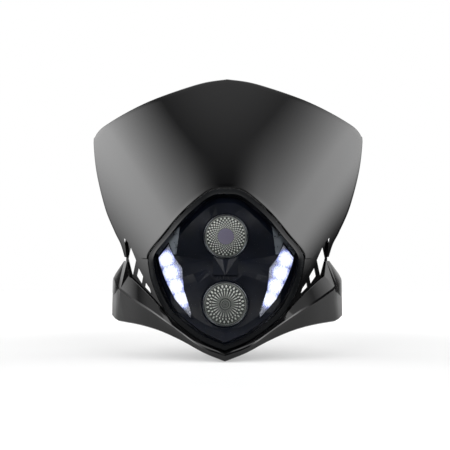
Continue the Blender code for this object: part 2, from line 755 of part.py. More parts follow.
def make_led_cluster(side, label, materials):
    """Clear cover, bright tray, circuit board and four LEDs of one cluster."""
    bolt = placed(BOLT)
    outline = sided(bolt, side)
    crown = sided(offset_outline(bolt, -LED_COVER_BEVEL), side)
    rings = []
    for points, behind in ((outline, LED_COVER_THICKNESS), (outline, 0.0), (crown, -LED_COVER_CROWN)):
        depth = led_plane(side, behind)
        rings.append([Vector((x, depth(x, z), z)) for x, z in points])
    finished("led_cover_" + label, loft(rings), materials["clear"])
    tray_front = LED_COVER_THICKNESS + SEAT_GAP
    tray_back = tray_front + LED_TRAY_DEPTH
    tray = prism(outline, led_plane(side, tray_front), led_plane(side, tray_back))
    tray = finished("led_tray_" + label, tray, materials["bright"])
    hollow = sided(offset_outline(bolt, -LED_TRAY_WALL), side)
    floor = tray_back - LED_TRAY_WALL
    combine(tray, "led_hollow_" + label,
            prism(hollow, led_plane(side, 0.0), led_plane(side, floor)), 'DIFFERENCE')
    board_back = floor - SEAT_GAP
    board_front = board_back - LED_BOARD_THICKNESS
    seat_plane = led_plane(side, board_front)
    board = sided(offset_outline(bolt, -LED_TRAY_WALL - SEAT_GAP), side)
    finished("led_board_" + label, prism(board, seat_plane, led_plane(side, board_back)),
             materials["board"])
    tilt = math.hypot(seat_plane(LED_FLANGE, 0.0) - seat_plane(0.0, 0.0),
                      seat_plane(0.0, LED_FLANGE) - seat_plane(0.0, 0.0))
    bend = math.radians(45)
    dome = LED_RADIUS - LED_HEIGHT
    profile = [(0.0, 0.0), (LED_FLANGE, 0.0), (LED_FLANGE, -LED_FLANGE_HEIGHT),
               (LED_RADIUS, -LED_FLANGE_HEIGHT), (LED_RADIUS, dome),
               (LED_RADIUS * math.cos(bend), dome - LED_RADIUS * math.sin(bend)), (0.0, -LED_HEIGHT)]
    for index, (x, z) in enumerate(placed(LED_PLACES), start=1):
        seat = seat_plane(side * x, z) - tilt - SEAT_GAP
        finished(f"led_{label}_{index}", turned(profile, side * x, seat, z, LED_SIDES), materials["led"])


def flute(style, radius_share, turn):
    """Height of the pressed pattern on a light's glass, from 0 to 1."""
    twist = 2.2 * radius_share if style == "upper" else 0.0
    wave = math.cos(FLUTE_COUNT / 2 * (turn + twist))
    return 0.5 + 0.5 * wave


def make_glass(name, z, y, material):
    """Pressed glass of a light: a shallow dome with flutes round a plain hub."""
    segments = FLUTE_COUNT * 2
    edge = LIGHT_GLASS_RADIUS
    rings = []
    for share in [HUB_RADIUS / edge] + GLASS_ROWS:
        ring = []
        fade = 1.0 if share in GLASS_ROWS else 0.0
        for k in range(segments):
            turn = 2 * math.pi * k / segments
            dome = -LIGHT_GLASS_DOME * (1 - share * share)
            depth = dome - fade * FLUTE_DEPTH * flute(name, share, turn)
            ring.append(Vector((share * edge * math.cos(turn), y + depth,
                                z + share * edge * math.sin(turn))))
        rings.append(ring)
    for radius, depth in ((edge, 0.0), (edge, LIGHT_GLASS_THICKNESS)):
        rings.append([Vector((radius * math.cos(2 * math.pi * k / segments), y + depth,
                              z + radius * math.sin(2 * math.pi * k / segments)))
                      for k in range(segments)])
    front_pole = Vector((0.0, y - LIGHT_GLASS_DOME, z))
    back_pole = Vector((0.0, y + LIGHT_GLASS_THICKNESS, z))
    finished(name + "_light_glass", loft(rings, front_pole, back_pole), material)


def make_light(name, z, y, materials):
    """Ring, glass, reflector, bulb, holder and rubber boot of one round light."""
    make_glass(name, z, y, materials["glass"])
    inner = LIGHT_GLASS_RADIUS + SEAT_GAP
    outer = inner + LIGHT_RING_WALL
    flank = 0.3 * LIGHT_RING_WALL
    ring = [(inner, 0.0), (inner + flank, -LIGHT_RING_CROWN), (outer - flank, -LIGHT_RING_CROWN),
            (outer, 0.0), (outer, LIGHT_RING_DEPTH), (inner, LIGHT_RING_DEPTH)]
    finished(name + "_light_ring", turned(ring, 0.0, y, z), materials["chrome"])
    start = LIGHT_RING_DEPTH + SEAT_GAP
    mouth = LIGHT_GLASS_RADIUS - REFLECTOR_LEDGE
    bowl = []
    for share in (0.0, 0.35, 0.7, 1.0):
        radius = REFLECTOR_NECK_RADIUS + (mouth - REFLECTOR_NECK_RADIUS) * math.sqrt(1 - share)
        bowl.append((radius, start + REFLECTOR_DEPTH * share))
    neck_end = start + REFLECTOR_DEPTH + REFLECTOR_NECK_LENGTH
    inside = bowl + [(REFLECTOR_NECK_RADIUS, neck_end)]
    outside = [(REFLECTOR_NECK_RADIUS + REFLECTOR_WALL, neck_end)]
    for radius, depth in reversed(bowl):
        outside.append((radius + REFLECTOR_WALL, depth + (0.0 if depth > start else REFLECTOR_WALL)))
    outside.append((outer, start + REFLECTOR_WALL))
    outside.append((outer, start))
    finished(name + "_reflector", turned(inside + outside, 0.0, y, z), materials["bright"])
    base_radius = REFLECTOR_NECK_RADIUS - SEAT_GAP
    neck_start = neck_end - REFLECTOR_NECK_LENGTH
    bulb_start = neck_start - BULB_LENGTH
    bulb = [(0.0, bulb_start), (0.6 * BULB_RADIUS, bulb_start + 0.2 * BULB_TIP_LENGTH),
            (BULB_RADIUS, bulb_start + BULB_TIP_LENGTH), (BULB_RADIUS, neck_start),
            (base_radius, neck_start + SEAT_GAP), (base_radius, neck_end), (0.0, neck_end)]
    finished(name + "_bulb", turned(bulb, 0.0, y, z, SMALL_CIRCLE), materials["bulb"])
    holder_start = neck_end + SEAT_GAP
    turret = turret_end(z) - y
    holder_end = turret + HOLDER_PROUD
    plug_radius = TURRET_BORE - SEAT_GAP
    holder = [(0.0, holder_start), (0.8 * HOLDER_RADIUS, holder_start),
              (HOLDER_RADIUS, holder_start + HOLDER_LIP), (plug_radius, turret - HOLDER_PLUG),
              (plug_radius, holder_end), (0.0, holder_end)]
    finished(name + "_bulb_holder", turned(holder, 0.0, y, z), materials["black"])
    cap_inner = TURRET_RADIUS + SEAT_GAP
    cap_outer = cap_inner + BOOT_WALL
    cap_start = turret - BOOT_LAP
    cap_floor = holder_end + SEAT_GAP
    cap_end = cap_floor + BOOT_WALL
    boot = [(cap_inner, cap_start), (cap_outer, cap_start), (cap_outer, cap_end - BOOT_SHOULDER),
            (cap_outer - BOOT_SHOULDER, cap_end),
            (BOOT_NECK_RADIUS + BOOT_NECK_FILLET, cap_end + BOOT_NECK_FILLET),
            (BOOT_NECK_RADIUS, cap_start + BOOT_LENGTH), (0.0, cap_start + BOOT_LENGTH)]
    boot = [(0.0, cap_floor), (cap_inner, cap_floor)] + boot
    finished(name + "_rubber_boot", turned(boot, 0.0, y, z), materials["rubber"])


def shield_outline_half():
    """Right half of the shield's outline, from its apex round the corner to its foot."""
    rise = SHIELD_TOP_Z - SHIELD_CORNER_Z
    drop = SHIELD_CORNER_Z - SHIELD_FOOT_Z
    flare = SHIELD_HALF_WIDTH - SHIELD_FOOT_HALF_WIDTH
    keys = [Vector((0.0, SHIELD_TOP_Z))]
    for x, z in SHIELD_BROW:
        keys.append(Vector((x * SHIELD_HALF_WIDTH, SHIELD_CORNER_Z + z * rise)))
    for x, z in SHIELD_FLANK:
        keys.append(Vector((SHIELD_FOOT_HALF_WIDTH + x * flare, SHIELD_CORNER_Z - z * drop)))
    keys.append(Vector((SHIELD_FOOT_HALF_WIDTH, SHIELD_FOOT_Z)))
    return smooth_path(keys, SHIELD_SPAN_STEPS)


def shield_columns():
    """Inner and outer ends of the shield's columns, from its right foot over the top to the left."""
    half = []
    for outer in shield_outline_half():
        angle = math.atan2(outer.y - LAMP_CENTRE_Z, outer.x)
        angle = max(angle, SHIELD_FOOT_ANGLE)
        inner_x, inner_z = lens_place(angle, LENS_REVEAL)
        half.append((Vector((inner_x, inner_z)), outer))
    right = list(reversed(half))
    left = [(Vector((-i.x, i.y)), Vector((-o.x, o.y))) for i, o in half[1:]]
    return right + left


def make_shield(material):
    """Shield: one curved moulding with rolled edges, scooped below, with bosses and two lugs."""
    front = []
    back = []
    for inner, outer in shield_columns():
        front_row = []
        back_row = []
        for share in SHIELD_ROWS:
            point = inner.lerp(outer, share)
            roll = EDGE_ROLL if share in (0.0, 1.0) else 0.0
            front_row.append(behind_skin(point.x, point.y, roll))
            back_row.append(behind_skin(point.x, point.y, SHELL_WALL))
        front.append(front_row)
        back.append(back_row)
    shield = finished("upper_shield", sheet(front, back), material)
    for side, label in ((-1, "left"), (1, "right")):
        scoop = sided(placed(SCOOP), side)
        combine(shield, "scoop_" + label, prism(scoop, level(CUT_FRONT_Y), level(CUT_BACK_Y)),
                'DIFFERENCE')
        add_boss(shield, shield_seat, side, EAR_ANGLES[0], label)
        add_lug(shield, shield_seat, side, 1, label)
    return shield


def shield_seat(x, z):
    """Depth inside the shield's wall where a boss or lug starts."""
    return behind_skin(x, z, SHIELD_SEAT_SHARE * SHELL_WALL).y


def add_boss(target, seat, side, angle, label):
    """Screw boss from the back of a moulding to a housing ear, with a blind bore."""
    x, z, _ = ear_frame(side, angle)
    end = ear_front(angle) - SEAT_GAP
    bore = SCREW_RADIUS + SEAT_GAP
    bottom = end - SCREW_LENGTH - SCREW_TIP_GAP
    rings = []
    for radius, depth in ((bore + BOSS_WALL, None), (bore + BOSS_WALL, end), (bore, end),
                          (bore, bottom)):
        ring = []
        for k in range(BOSS_SIDES):
            turn = 2 * math.pi * (k + 0.5) / BOSS_SIDES
            px = x + radius * math.cos(turn)
            pz = z + radius * math.sin(turn)
            ring.append(Vector((px, seat(px, pz) if depth is None else depth, pz)))
        rings.append(ring)
    boss = loft(rings, Vector((x, seat(x, z), z)), Vector((x, bottom, z)))
    combine(target, "boss_" + label, boss, 'UNION')


def add_lug(target, seat, side, height_sign, label):
    """Strap lug: a post behind the moulding with a wide flat head."""
    x = side * LUG_SPACING_X / 2
    z = height_sign * LUG_SPACING_Z / 2
    rings = []
    for width, height, depth in ((LUG_POST, LUG_POST, None),
                                 (LUG_POST, LUG_POST, -LUG_HEAD_THICKNESS),
                                 (LUG_HEAD_WIDTH, LUG_HEAD_HEIGHT, -LUG_HEAD_THICKNESS),
                                 (LUG_HEAD_WIDTH, LUG_HEAD_HEIGHT, 0.0)):
        ring = []
        for dx, dz in cut_corners(width, height, LUG_CORNER_SHARE * min(width, height)):
            depth_here = seat(x + dx, z + dz) if depth is None else depth
            ring.append(Vector((x + dx, depth_here, z + dz)))
        rings.append(ring)
    lug = loft(rings, Vector((x, seat(x, z), z)), Vector((x, 0.0, z)))
    combine(target, "lug_" + label, lug, 'UNION')


def cut_corners(width, height, corner):
    """Rectangle about its centre with its corners cut off."""
    x = width / 2
    z = height / 2
    return [(-x, corner - z), (corner - x, -z), (x - corner, -z), (x, corner - z), (x, z - corner),
            (x - corner, z), (corner - x, z), (-x, z - corner)]


def cowl_line(points):
    """Points of a cowl line in space, from stations and how far each stands proud of the skin."""
    line = []
    for a, up, proud in points:
        x = across(a)
        z = height(up)
        line.append(Vector((x, skin_y(x, z) - proud, z)))
    return line


def cowl_lines():
    """Top edge, ridge and bottom edge of the cowl's right half, back to the wing's rear end."""
    top = []
    for angle in CHIN_ANGLES:
        x, z = lens_place(angle, LENS_REVEAL)
        top.append(Vector((x, skin_y(x, z), z)))
    lines = [top + cowl_line(COWL_TOP_WING), cowl_line(COWL_RIDGE), cowl_line(COWL_BOTTOM)]
    for line, drop in zip(lines, (-WING_TAPER, -WING_TAPER, WING_TAPER)):
        line.append(line[-1] + Vector((-WING_TOE_IN, WING_DEPTH, drop)))
    return lines


def at_x(line, x):
    """Point of a line where it passes a distance from the symmetry plane."""
    for a, b in zip(line, line[1:]):
        if a.x <= x <= b.x:
            return a.lerp(b, (x - a.x) / (b.x - a.x))
    return line[-1]


def cowl_seat(x, z):
    """Depth inside the cowl's wall where a boss or lug starts."""
    top, ridge, bottom = [at_x(line, abs(x)) for line in cowl_lines()]
    near, far = (ridge, bottom) if z < ridge.z else (top, ridge)
    share = (near.z - z) / (near.z - far.z)
    return near.y + share * (far.y - near.y) + COWL_SEAT_SHARE * SHELL_WALL


def cowl_samples(line):
    """A cowl line in small steps: curved along the chin and lower wing, straight past the corner."""
    return smooth_path(line[:COWL_CURVED_KEYS], COWL_SPAN_STEPS) + line[COWL_CURVED_KEYS:]


def inward(line, index):
    """Direction into the cowl at a sample of a line, seen from above: square to the line."""
    if index == 0:
        return STRAIGHT_BACK
    before = line[index - 1]
    after = line[min(index + 1, len(line) - 1)]
    along = after - before
    return Vector((-along.y, along.x, 0.0)).normalized()


def make_cowl(material):
    """Cowl: chin and both side wings in one moulding, with a ridge, flange, bosses and two lugs."""
    top, ridge, bottom = [cowl_samples(line) for line in cowl_lines()]
    chin_samples = (len(CHIN_ANGLES) - 1) * COWL_SPAN_STEPS
    up = Vector((0.0, 0.0, 1.0))
    front = []
    back = []
    for index, (t, r, b) in enumerate(zip(top, ridge, bottom)):
        if index < chin_samples:
            x, z = lens_place(math.atan2(t.z - LAMP_CENTRE_Z, t.x), LENS_REVEAL)
            t = Vector((x, skin_y(x, z), z))
        inside = inward(bottom, index)
        edge_inside = STRAIGHT_BACK if index < chin_samples else inside
        flange = b + inside * COWL_FLANGE + up * COWL_FLANGE_RISE
        upper = r + (t - r).normalized() * RIDGE_CHAMFER
        lower = r + (b - r).normalized() * RIDGE_CHAMFER
        heel = b + (r - b).normalized() * RIDGE_CHAMFER
        toe = b + (flange - b).normalized() * RIDGE_CHAMFER
        row = [t, upper, lower, lower.lerp(heel, 0.5), heel, toe, flange]
        front.append(row)
        directions = [edge_inside] + [inside] * (len(row) - 1)
        back.append([p + (direction * inwards + up * upwards) * SHELL_WALL
                     for p, direction, (inwards, upwards) in zip(row, directions, COWL_WALL_SHIFTS)])
    for grid in (front, back):
        grid[:0] = [[Vector((-p.x, p.y, p.z)) for p in row] for row in reversed(grid[1:])]
    cowl = finished("lower_cowl", sheet(front, back), material)
    for side, label in ((-1, "left"), (1, "right")):
        add_boss(cowl, cowl_seat, side, EAR_ANGLES[1], "cowl_" + label)
        add_lug(cowl, cowl_seat, side, -1, "cowl_" + label)
    return cowl


def make_louvres(material):
    """Black louvre panels behind the scoops, each with three slots and thin fins between."""
    depth = SHELL_WALL + SEAT_GAP
    for side, label in ((-1, "left"), (1, "right")):
        rim = smooth_path([Vector(p) for p in placed(LOUVRE_RIM)], LOUVRE_SPAN_STEPS)
        front = []
        back = []
        for index, outer in enumerate(rim):
            share = index / (len(rim) - 1)
            angle = LOUVRE_TOP_ANGLE + share * (LOUVRE_FOOT_ANGLE - LOUVRE_TOP_ANGLE)
            inner_x, inner_z = lens_place(angle, LENS_REVEAL)
            inner = Vector((inner_x, inner_z))
            front_row = []
            back_row = []
            for step in range(LOUVRE_COLUMNS + 1):
                point = inner.lerp(outer, step / LOUVRE_COLUMNS)
                for row, behind in ((front_row, depth), (back_row, depth + LOUVRE_WALL)):
                    place = behind_skin(point.x, point.y, behind)
                    row.append(Vector((side * place.x, place.y, place.z)))
            front.append(front_row)
            back.append(back_row)
        panel = finished("louvre_panel_" + label, sheet(front, back), material)
        for index, slot in enumerate(LOUVRE_SLOTS, start=1):
            cut = prism(sided(placed(slot), side), level(CUT_FRONT_Y), level(CUT_BACK_Y))
            combine(panel, f"slot_{label}_{index}", cut, 'DIFFERENCE')


def make_screws(material):
    """Pan-head screws that hold the housing's ears to the mouldings."""
    for side, label in ((-1, "left"), (1, "right")):
        for place, angle in zip(("upper", "lower"), EAR_ANGLES):
            x, z, _ = ear_frame(side, angle)
            seat = ear_front(angle) + EAR_THICKNESS + SEAT_GAP
            head = SCREW_HEAD_HEIGHT
            profile = [(0.0, head), (0.7 * SCREW_HEAD_RADIUS, 0.85 * head),
                       (SCREW_HEAD_RADIUS, 0.4 * head), (SCREW_HEAD_RADIUS, 0.0), (SCREW_RADIUS, 0.0),
                       (SCREW_RADIUS, -SCREW_LENGTH), (0.0, -SCREW_LENGTH)]
            finished(f"lamp_screw_{place}_{label}", turned(profile, x, seat, z, SMALL_CIRCLE), material)


def make_rear_fittings(material):
    """Wire gland, open through its middle, and a breather cap on the housing's back."""
    z = rear_fitting_z()
    seat = housing_back(z) + HOUSING_BACK_LEAN * GLAND_RADIUS + SEAT_GAP
    stem = GLAND_BORE + GLAND_STEM_WALL
    gland = [(GLAND_BORE, -STEM_LENGTH), (stem, -STEM_LENGTH), (stem, 0.0), (GLAND_RADIUS, 0.0),
             (GLAND_RADIUS, GLAND_FLANGE), (0.7 * GLAND_RADIUS, GLAND_LENGTH),
             (GLAND_BORE, GLAND_LENGTH)]
    finished("wire_gland", turned(gland, GLAND_X, seat, z, SMALL_CIRCLE), material)
    stem = VENT_STEM_RADIUS
    vent = [(0.0, -STEM_LENGTH), (stem, -STEM_LENGTH), (stem, 0.0), (VENT_RADIUS, 0.0),
            (VENT_RADIUS, 0.7 * VENT_LENGTH), (0.7 * VENT_RADIUS, VENT_LENGTH), (0.0, VENT_LENGTH)]
    finished("breather_cap", turned(vent, VENT_X, seat, z, SMALL_CIRCLE), material)


def main():
    """Builds the whole mask."""
    for obj in list(bpy.data.objects):
        bpy.data.objects.remove(obj, do_unlink=True)
    gloss_black = make_material("gloss_black_abs", (0.012, 0.012, 0.013), 0.12)
    inner_black = make_material("inner_black_abs", (0.006, 0.008, 0.012), 0.2)
    matt_black = make_material("matt_black_plastic", (0.015, 0.015, 0.016), 0.6)
    rubber = make_material("black_rubber", (0.02, 0.02, 0.02), 0.85)
    clear = make_material("clear_polycarbonate", (0.9, 0.92, 0.95), 0.03, alpha=0.2)
    bright = make_material("metallised_bright", (0.75, 0.76, 0.78), 0.15, metallic=1.0)
    chrome = make_material("chrome_trim", (0.8, 0.8, 0.82), 0.08, metallic=1.0)
    satin = make_material("satin_trim", (0.35, 0.37, 0.40), 0.3, metallic=0.6)
    glass = make_material("pressed_glass", (0.55, 0.58, 0.56), 0.1, alpha=0.5)
    bulb = make_material("bulb_glass", (0.8, 0.8, 0.78), 0.05, alpha=0.5)
    led = make_material("led_epoxy", (0.9, 0.93, 1.0), 0.1)
    board = make_material("white_board", (0.7, 0.72, 0.74), 0.5)
    steel = make_material("zinc_steel", (0.45, 0.45, 0.44), 0.35, metallic=1.0)

    make_shield(gloss_black)
    make_cowl(gloss_black)
    make_louvres(inner_black)
    make_lens(clear)
    make_gasket(rubber)
    make_housing(matt_black)
    make_bezel(inner_black)
    make_trims(satin)
    for name, z, y in lights():
        make_light(name, z, y, {"glass": glass, "chrome": chrome, "bright": bright, "bulb": bulb,
                                "black": matt_black, "rubber": rubber})
    for side, label in ((-1, "left"), (1, "right")):
        make_led_cluster(side, label, {"clear": clear, "bright": bright, "board": board, "led": led})
    make_screws(steel)
    make_rear_fittings(matt_black)


main()
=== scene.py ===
"""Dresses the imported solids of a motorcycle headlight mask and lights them.

Metres, +Z up. The mask faces -Y and is symmetric about X = 0. Run as a script.
"""
import math
from bisect import bisect_left

import bmesh
import bpy
from mathutils import Matrix, Vector


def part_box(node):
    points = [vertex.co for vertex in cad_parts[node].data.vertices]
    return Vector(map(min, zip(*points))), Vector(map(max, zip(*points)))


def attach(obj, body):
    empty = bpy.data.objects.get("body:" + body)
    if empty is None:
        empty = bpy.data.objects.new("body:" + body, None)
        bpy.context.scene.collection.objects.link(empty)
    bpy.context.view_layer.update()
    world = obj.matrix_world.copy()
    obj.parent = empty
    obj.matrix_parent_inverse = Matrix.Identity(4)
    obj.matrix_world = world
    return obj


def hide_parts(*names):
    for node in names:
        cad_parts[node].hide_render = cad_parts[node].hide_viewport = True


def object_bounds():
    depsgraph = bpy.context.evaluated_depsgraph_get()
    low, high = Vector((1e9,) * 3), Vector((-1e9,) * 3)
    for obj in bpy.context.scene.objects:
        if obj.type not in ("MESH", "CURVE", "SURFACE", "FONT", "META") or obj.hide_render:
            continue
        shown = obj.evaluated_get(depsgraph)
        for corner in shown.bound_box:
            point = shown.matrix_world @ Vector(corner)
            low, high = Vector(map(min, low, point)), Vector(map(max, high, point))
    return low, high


bl_info = {
    "name": "Headlight mask finish",
    "version": (1, 0, 0),
    "blender": (4, 5, 0),
    "location": "3D View > Sidebar > Mask",
    "description": "Dresses the packed solids of a motorcycle headlight mask and lights them",
    "category": "Object",
}

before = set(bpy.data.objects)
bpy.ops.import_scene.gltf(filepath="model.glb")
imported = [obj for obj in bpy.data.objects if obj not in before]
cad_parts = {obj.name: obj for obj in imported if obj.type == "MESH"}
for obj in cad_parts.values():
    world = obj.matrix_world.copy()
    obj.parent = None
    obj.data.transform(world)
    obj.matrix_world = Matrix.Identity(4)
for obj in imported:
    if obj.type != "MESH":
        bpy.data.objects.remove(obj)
CAD_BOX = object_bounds()

MM = 0.001
WELD = 0.001 * MM

# The skin and the two outlines on it, as the solids have them
SKIN_APEX_Y = -0.058
SKIN_LEAN = 0.40
SKIN_RISE_RADIUS = 1.25
SKIN_BEND_RADIUS = 0.200
SKIN_BEND_GROWTH = 0.55
LENS_CENTRE_Z = 0.008
LENS_APEX_Z = 0.100
LENS_SHOULDER_Z = 0.0146
LENS_TIP_Z = -0.0941
LENS_HALF_WIDTH = 0.0956
LENS_UPPER_FLANK = [(0.191, 0.975), (0.394, 0.813), (0.597, 0.597), (0.800, 0.320), (0.955, 0.115)]
LENS_LOWER_FLANK = [(0.984, 0.112), (0.948, 0.246), (0.858, 0.431), (0.745, 0.592), (0.600, 0.716),
                    (0.290, 0.900)]
LENS_REVEAL = 0.0006
LENS_PROUD = 0.0010
LENS_BULGE = 0.0080
SHIELD_TOP_Z = 0.2479
SHIELD_CORNER_Z = 0.165
SHIELD_HALF_WIDTH = 0.1795
SHIELD_FOOT_Z = 0.0162
SHIELD_FOOT_HALF_WIDTH = 0.1274
SHIELD_BROW = [(0.155, 0.951), (0.311, 0.857), (0.556, 0.683), (0.743, 0.513), (0.898, 0.345),
               (0.957, 0.258), (0.988, 0.165), (0.9995, 0.066)]
SHIELD_FLANK = [(0.868, 0.244), (0.580, 0.573), (0.286, 0.786), (0.117, 0.890)]
SHIELD_FOOT_ANGLE = math.radians(2.3)
SHIELD_WALL = 0.0030
SCOOP = [(0.0880, -0.0100), (0.0880, 0.0083), (0.0945, 0.0083), (0.1045, 0.0134), (0.1160, 0.0276),
         (0.1284, 0.0400), (0.1262, 0.0270), (0.1240, 0.0120), (0.1225, -0.0100)]

# The clear lens, its border with the skirt, and the seal. Its tabs' angles are in degrees
LENS_SPOKES = 144
LENS_WALL = 0.0025
LENS_EDGE_SHARE = 0.92
BORDER_SHOULDER = 0.0035
BORDER_SKIRT = 0.0140
SEAL_FRONT = 0.0143
SEAL_BACK = 0.0161
SEAL_LIP = 0.0024
SEAL_TAB = 0.0065
SEAL_TAB_ANGLE = -33.6
SEAL_TAB_HALF_SPREAD = 4.2
SEAL_TAB_SLOPE = 1.5

# The round glasses: the share of the radius that the hub takes, the hub's colour, and the rings of
# the pattern with their number of arms, twist, start, stop and height
GLASSES = {
    "upper": (0.39, "#696577", [(30, 26.0, 0.40, 0.93, 1.0), (0, 0.0, 0.955, 1.0, 1.2)]),
    "lower": (0.0, "#4c514f", [(0, 6.0, 0.03, 0.25, 0.8), (28, 1.5, 0.29, 0.62, 1.0),
                               (28, 18.0, 0.64, 0.93, 0.9), (0, 0.0, 0.955, 1.0, 1.2)]),
}
GLASS_DOME = 0.0030
RING_CLEARANCE = 0.0002
RING_BEAD = 0.0014

# Roundings of the pieces that keep their solid's form, and the least depth of a fitting's faces
HOUSING_ROUND = 0.0004
FITTING_ROUND = 0.0003
TRAY_ROUND = 0.0002
FITTING_DEPTH = 0.002

# Ends of a noise's usual range, for colour and for roughness
SHADE_RANGE = (0.30, 0.70)
ROUGHNESS_RANGE = (0.35, 0.65)

# The studio by the directions in which the mask sees its lights start and be full
LEFT_PANEL = {"aside": (-0.07, -0.43), "foot": (0.06, 0.50), "top": (0.80, 0.54), "strength": 5.2}
RIGHT_PANEL = {"aside": (0.02, 0.36), "foot": (0.20, 0.43), "top": (0.83, 0.54), "strength": 4.5}
PANEL_BEHIND = (0.55, 0.30)
CEILING = (0.72, 0.95)
CEILING_STRENGTHS = (0.05, 0.68)
BACKDROP = (0.80, 0.90)

# What the floor lacks to white near the mask and far from it, and the distances for that
FLOOR_LIFTS = (0.38, 0.64)
FLOOR_REACH = (0.3, 1.0)
FLOOR_GAP = 0.0004

# The photograph's view, with places and lengths in its pixels
IMAGE_WIDTH = 450
FOCAL_LENGTH = 869
SHIFT_RIGHT = -2
SHIFT_UP = 45
CAMERA_DISTANCE = 1.118
CAMERA_TURN = math.radians(1.2)


def linear(code):
    """Linear colour of an sRGB hex value."""
    values = [int(code[i:i + 2], 16) / 255 for i in (1, 3, 5)]
    return [v / 12.92 if v <= 0.04045 else ((v + 0.055) / 1.055) ** 2.4 for v in values]


def angles(first, last, step):
    """Angles in radians, from whole degrees."""
    return [math.radians(angle) for angle in range(first, last + 1, step)]


def skin_y(x, z):
    """Depth of the outer skin at a point seen from the front."""
    rise = z - LENS_APEX_Z
    radius = SKIN_BEND_RADIUS + SKIN_BEND_GROWTH * rise
    return (SKIN_APEX_Y + SKIN_LEAN * rise + rise * rise / (2 * SKIN_RISE_RADIUS)
            + x * x / (2 * radius))


def skin_stretch(x, z):
    """How much longer a wall's depth along Y is than its true thickness."""
    step = 0.0005
    slope_x = (skin_y(x + step, z) - skin_y(x - step, z)) / (2 * step)
    slope_z = (skin_y(x, z + step) - skin_y(x, z - step)) / (2 * step)
    return math.sqrt(1 + slope_x ** 2 + slope_z ** 2)


def behind_skin(x, z, depth):
    """Point a true depth behind the skin."""
    return Vector((x, skin_y(x, z) + depth * skin_stretch(x, z), z))


def smooth_path(keys, steps):
    """Points along a smooth curve through the keys."""
    padded = [2 * keys[0] - keys[1]] + list(keys) + [2 * keys[-1] - keys[-2]]
    points = []
    for i in range(1, len(padded) - 2):
        a, b, c, d = padded[i - 1:i + 3]
        for k in range(steps):
            t = k / steps
            points.append(0.5 * ((2 * b) + (c - a) * t + (2 * a - 5 * b + 4 * c - d) * t ** 2
                                 + (3 * b - a - 3 * c + d) * t ** 3))
    points.append(keys[-1].copy())
    return points


def lens_table():
    """Angles and radii of the lamp window's right half about the lamp centre."""
    rise = LENS_APEX_Z - LENS_SHOULDER_Z
    drop = LENS_SHOULDER_Z - LENS_TIP_Z
    keys = [Vector((0.0, LENS_APEX_Z))]
    keys += [Vector((x * LENS_HALF_WIDTH, LENS_SHOULDER_Z + z * rise)) for x, z in LENS_UPPER_FLANK]
    keys.append(Vector((LENS_HALF_WIDTH, LENS_SHOULDER_Z)))
    keys += [Vector((x * LENS_HALF_WIDTH, LENS_SHOULDER_Z - z * drop)) for x, z in LENS_LOWER_FLANK]
    keys.append(Vector((0.0, LENS_TIP_Z)))
    pairs = []
    for point in smooth_path(keys, 6):
        dz = point.y - LENS_CENTRE_Z
        pairs.append((math.atan2(dz, point.x), math.hypot(point.x, dz)))
    pairs.sort()
    return [p[0] for p in pairs], [p[1] for p in pairs]


LENS_TABLE = lens_table()


def folded(angle):
    """Angle above +X that an angle about the lamp centre has on the mask's right half."""
    return math.atan2(math.sin(angle), abs(math.cos(angle)))


def lens_radius(angle):
    """Radius of the lamp window about the lamp centre at an angle above +X."""
    turn = folded(angle)
    turns, radii = LENS_TABLE
    upper = min(max(bisect_left(turns, turn), 1), len(turns) - 1)
    lower = upper - 1
    share = (turn - turns[lower]) / (turns[upper] - turns[lower])
    share = min(max(share, 0.0), 1.0)
    return radii[lower] + share * (radii[upper] - radii[lower])


def lens_place(angle, outside):
    """Point at a true distance outside the lamp window's edge."""
    step = 0.02
    radius = lens_radius(angle)
    slope = (lens_radius(angle + step) - lens_radius(angle - step)) / (2 * step * radius)
    reach = radius + outside * math.sqrt(1 + slope * slope)
    return reach * math.cos(angle), LENS_CENTRE_Z + reach * math.sin(angle)


# Making and placing pieces


def piece(name, bm, material, smooth=30.0):
    """Object on the mask's only body, from a mesh that is shaded smooth up to an angle in
    degrees."""
    bmesh.ops.recalc_face_normals(bm, faces=bm.faces)
    mesh = bpy.data.meshes.new(name)
    bm.to_mesh(mesh)
    bm.free()
    mesh.materials.append(material)
    mesh.shade_smooth()
    mesh.set_sharp_from_angle(angle=math.radians(smooth))
    obj = bpy.data.objects.new(name, mesh)
    bpy.context.scene.collection.objects.link(obj)
    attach(obj, "root")
    return obj


def solid_copy(node):
    """Welded copy of a CAD node's mesh, with flat faces made whole again."""
    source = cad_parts[node].data
    bm = bmesh.new()
    for vertex in source.vertices:
        bm.verts.new(vertex.co)
    bm.verts.ensure_lookup_table()
    for polygon in source.polygons:
        bm.faces.new([bm.verts[i] for i in polygon.vertices])
    bmesh.ops.remove_doubles(bm, verts=bm.verts, dist=10 * WELD)
    bmesh.ops.dissolve_limit(bm, angle_limit=math.radians(0.3), verts=bm.verts, edges=bm.edges)
    return bm


def round_edges(obj, width, sharp=30.0, harden=False):
    """Rounds the edges of an object that turn by more than an angle in degrees."""
    modifier = obj.modifiers.new("edge_round", 'BEVEL')
    modifier.width = width
    modifier.segments = 2
    modifier.limit_method = 'ANGLE'
    modifier.angle_limit = math.radians(sharp)
    modifier.harden_normals = harden


def dressed(name, node, material, bevel=0.0, smooth=30.0):
    """Piece that stands for a CAD node: the same form with its sharp edges rounded."""
    obj = piece(name, solid_copy(node), material, smooth)
    if bevel:
        round_edges(obj, bevel, 35.0, harden=True)
    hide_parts(node)


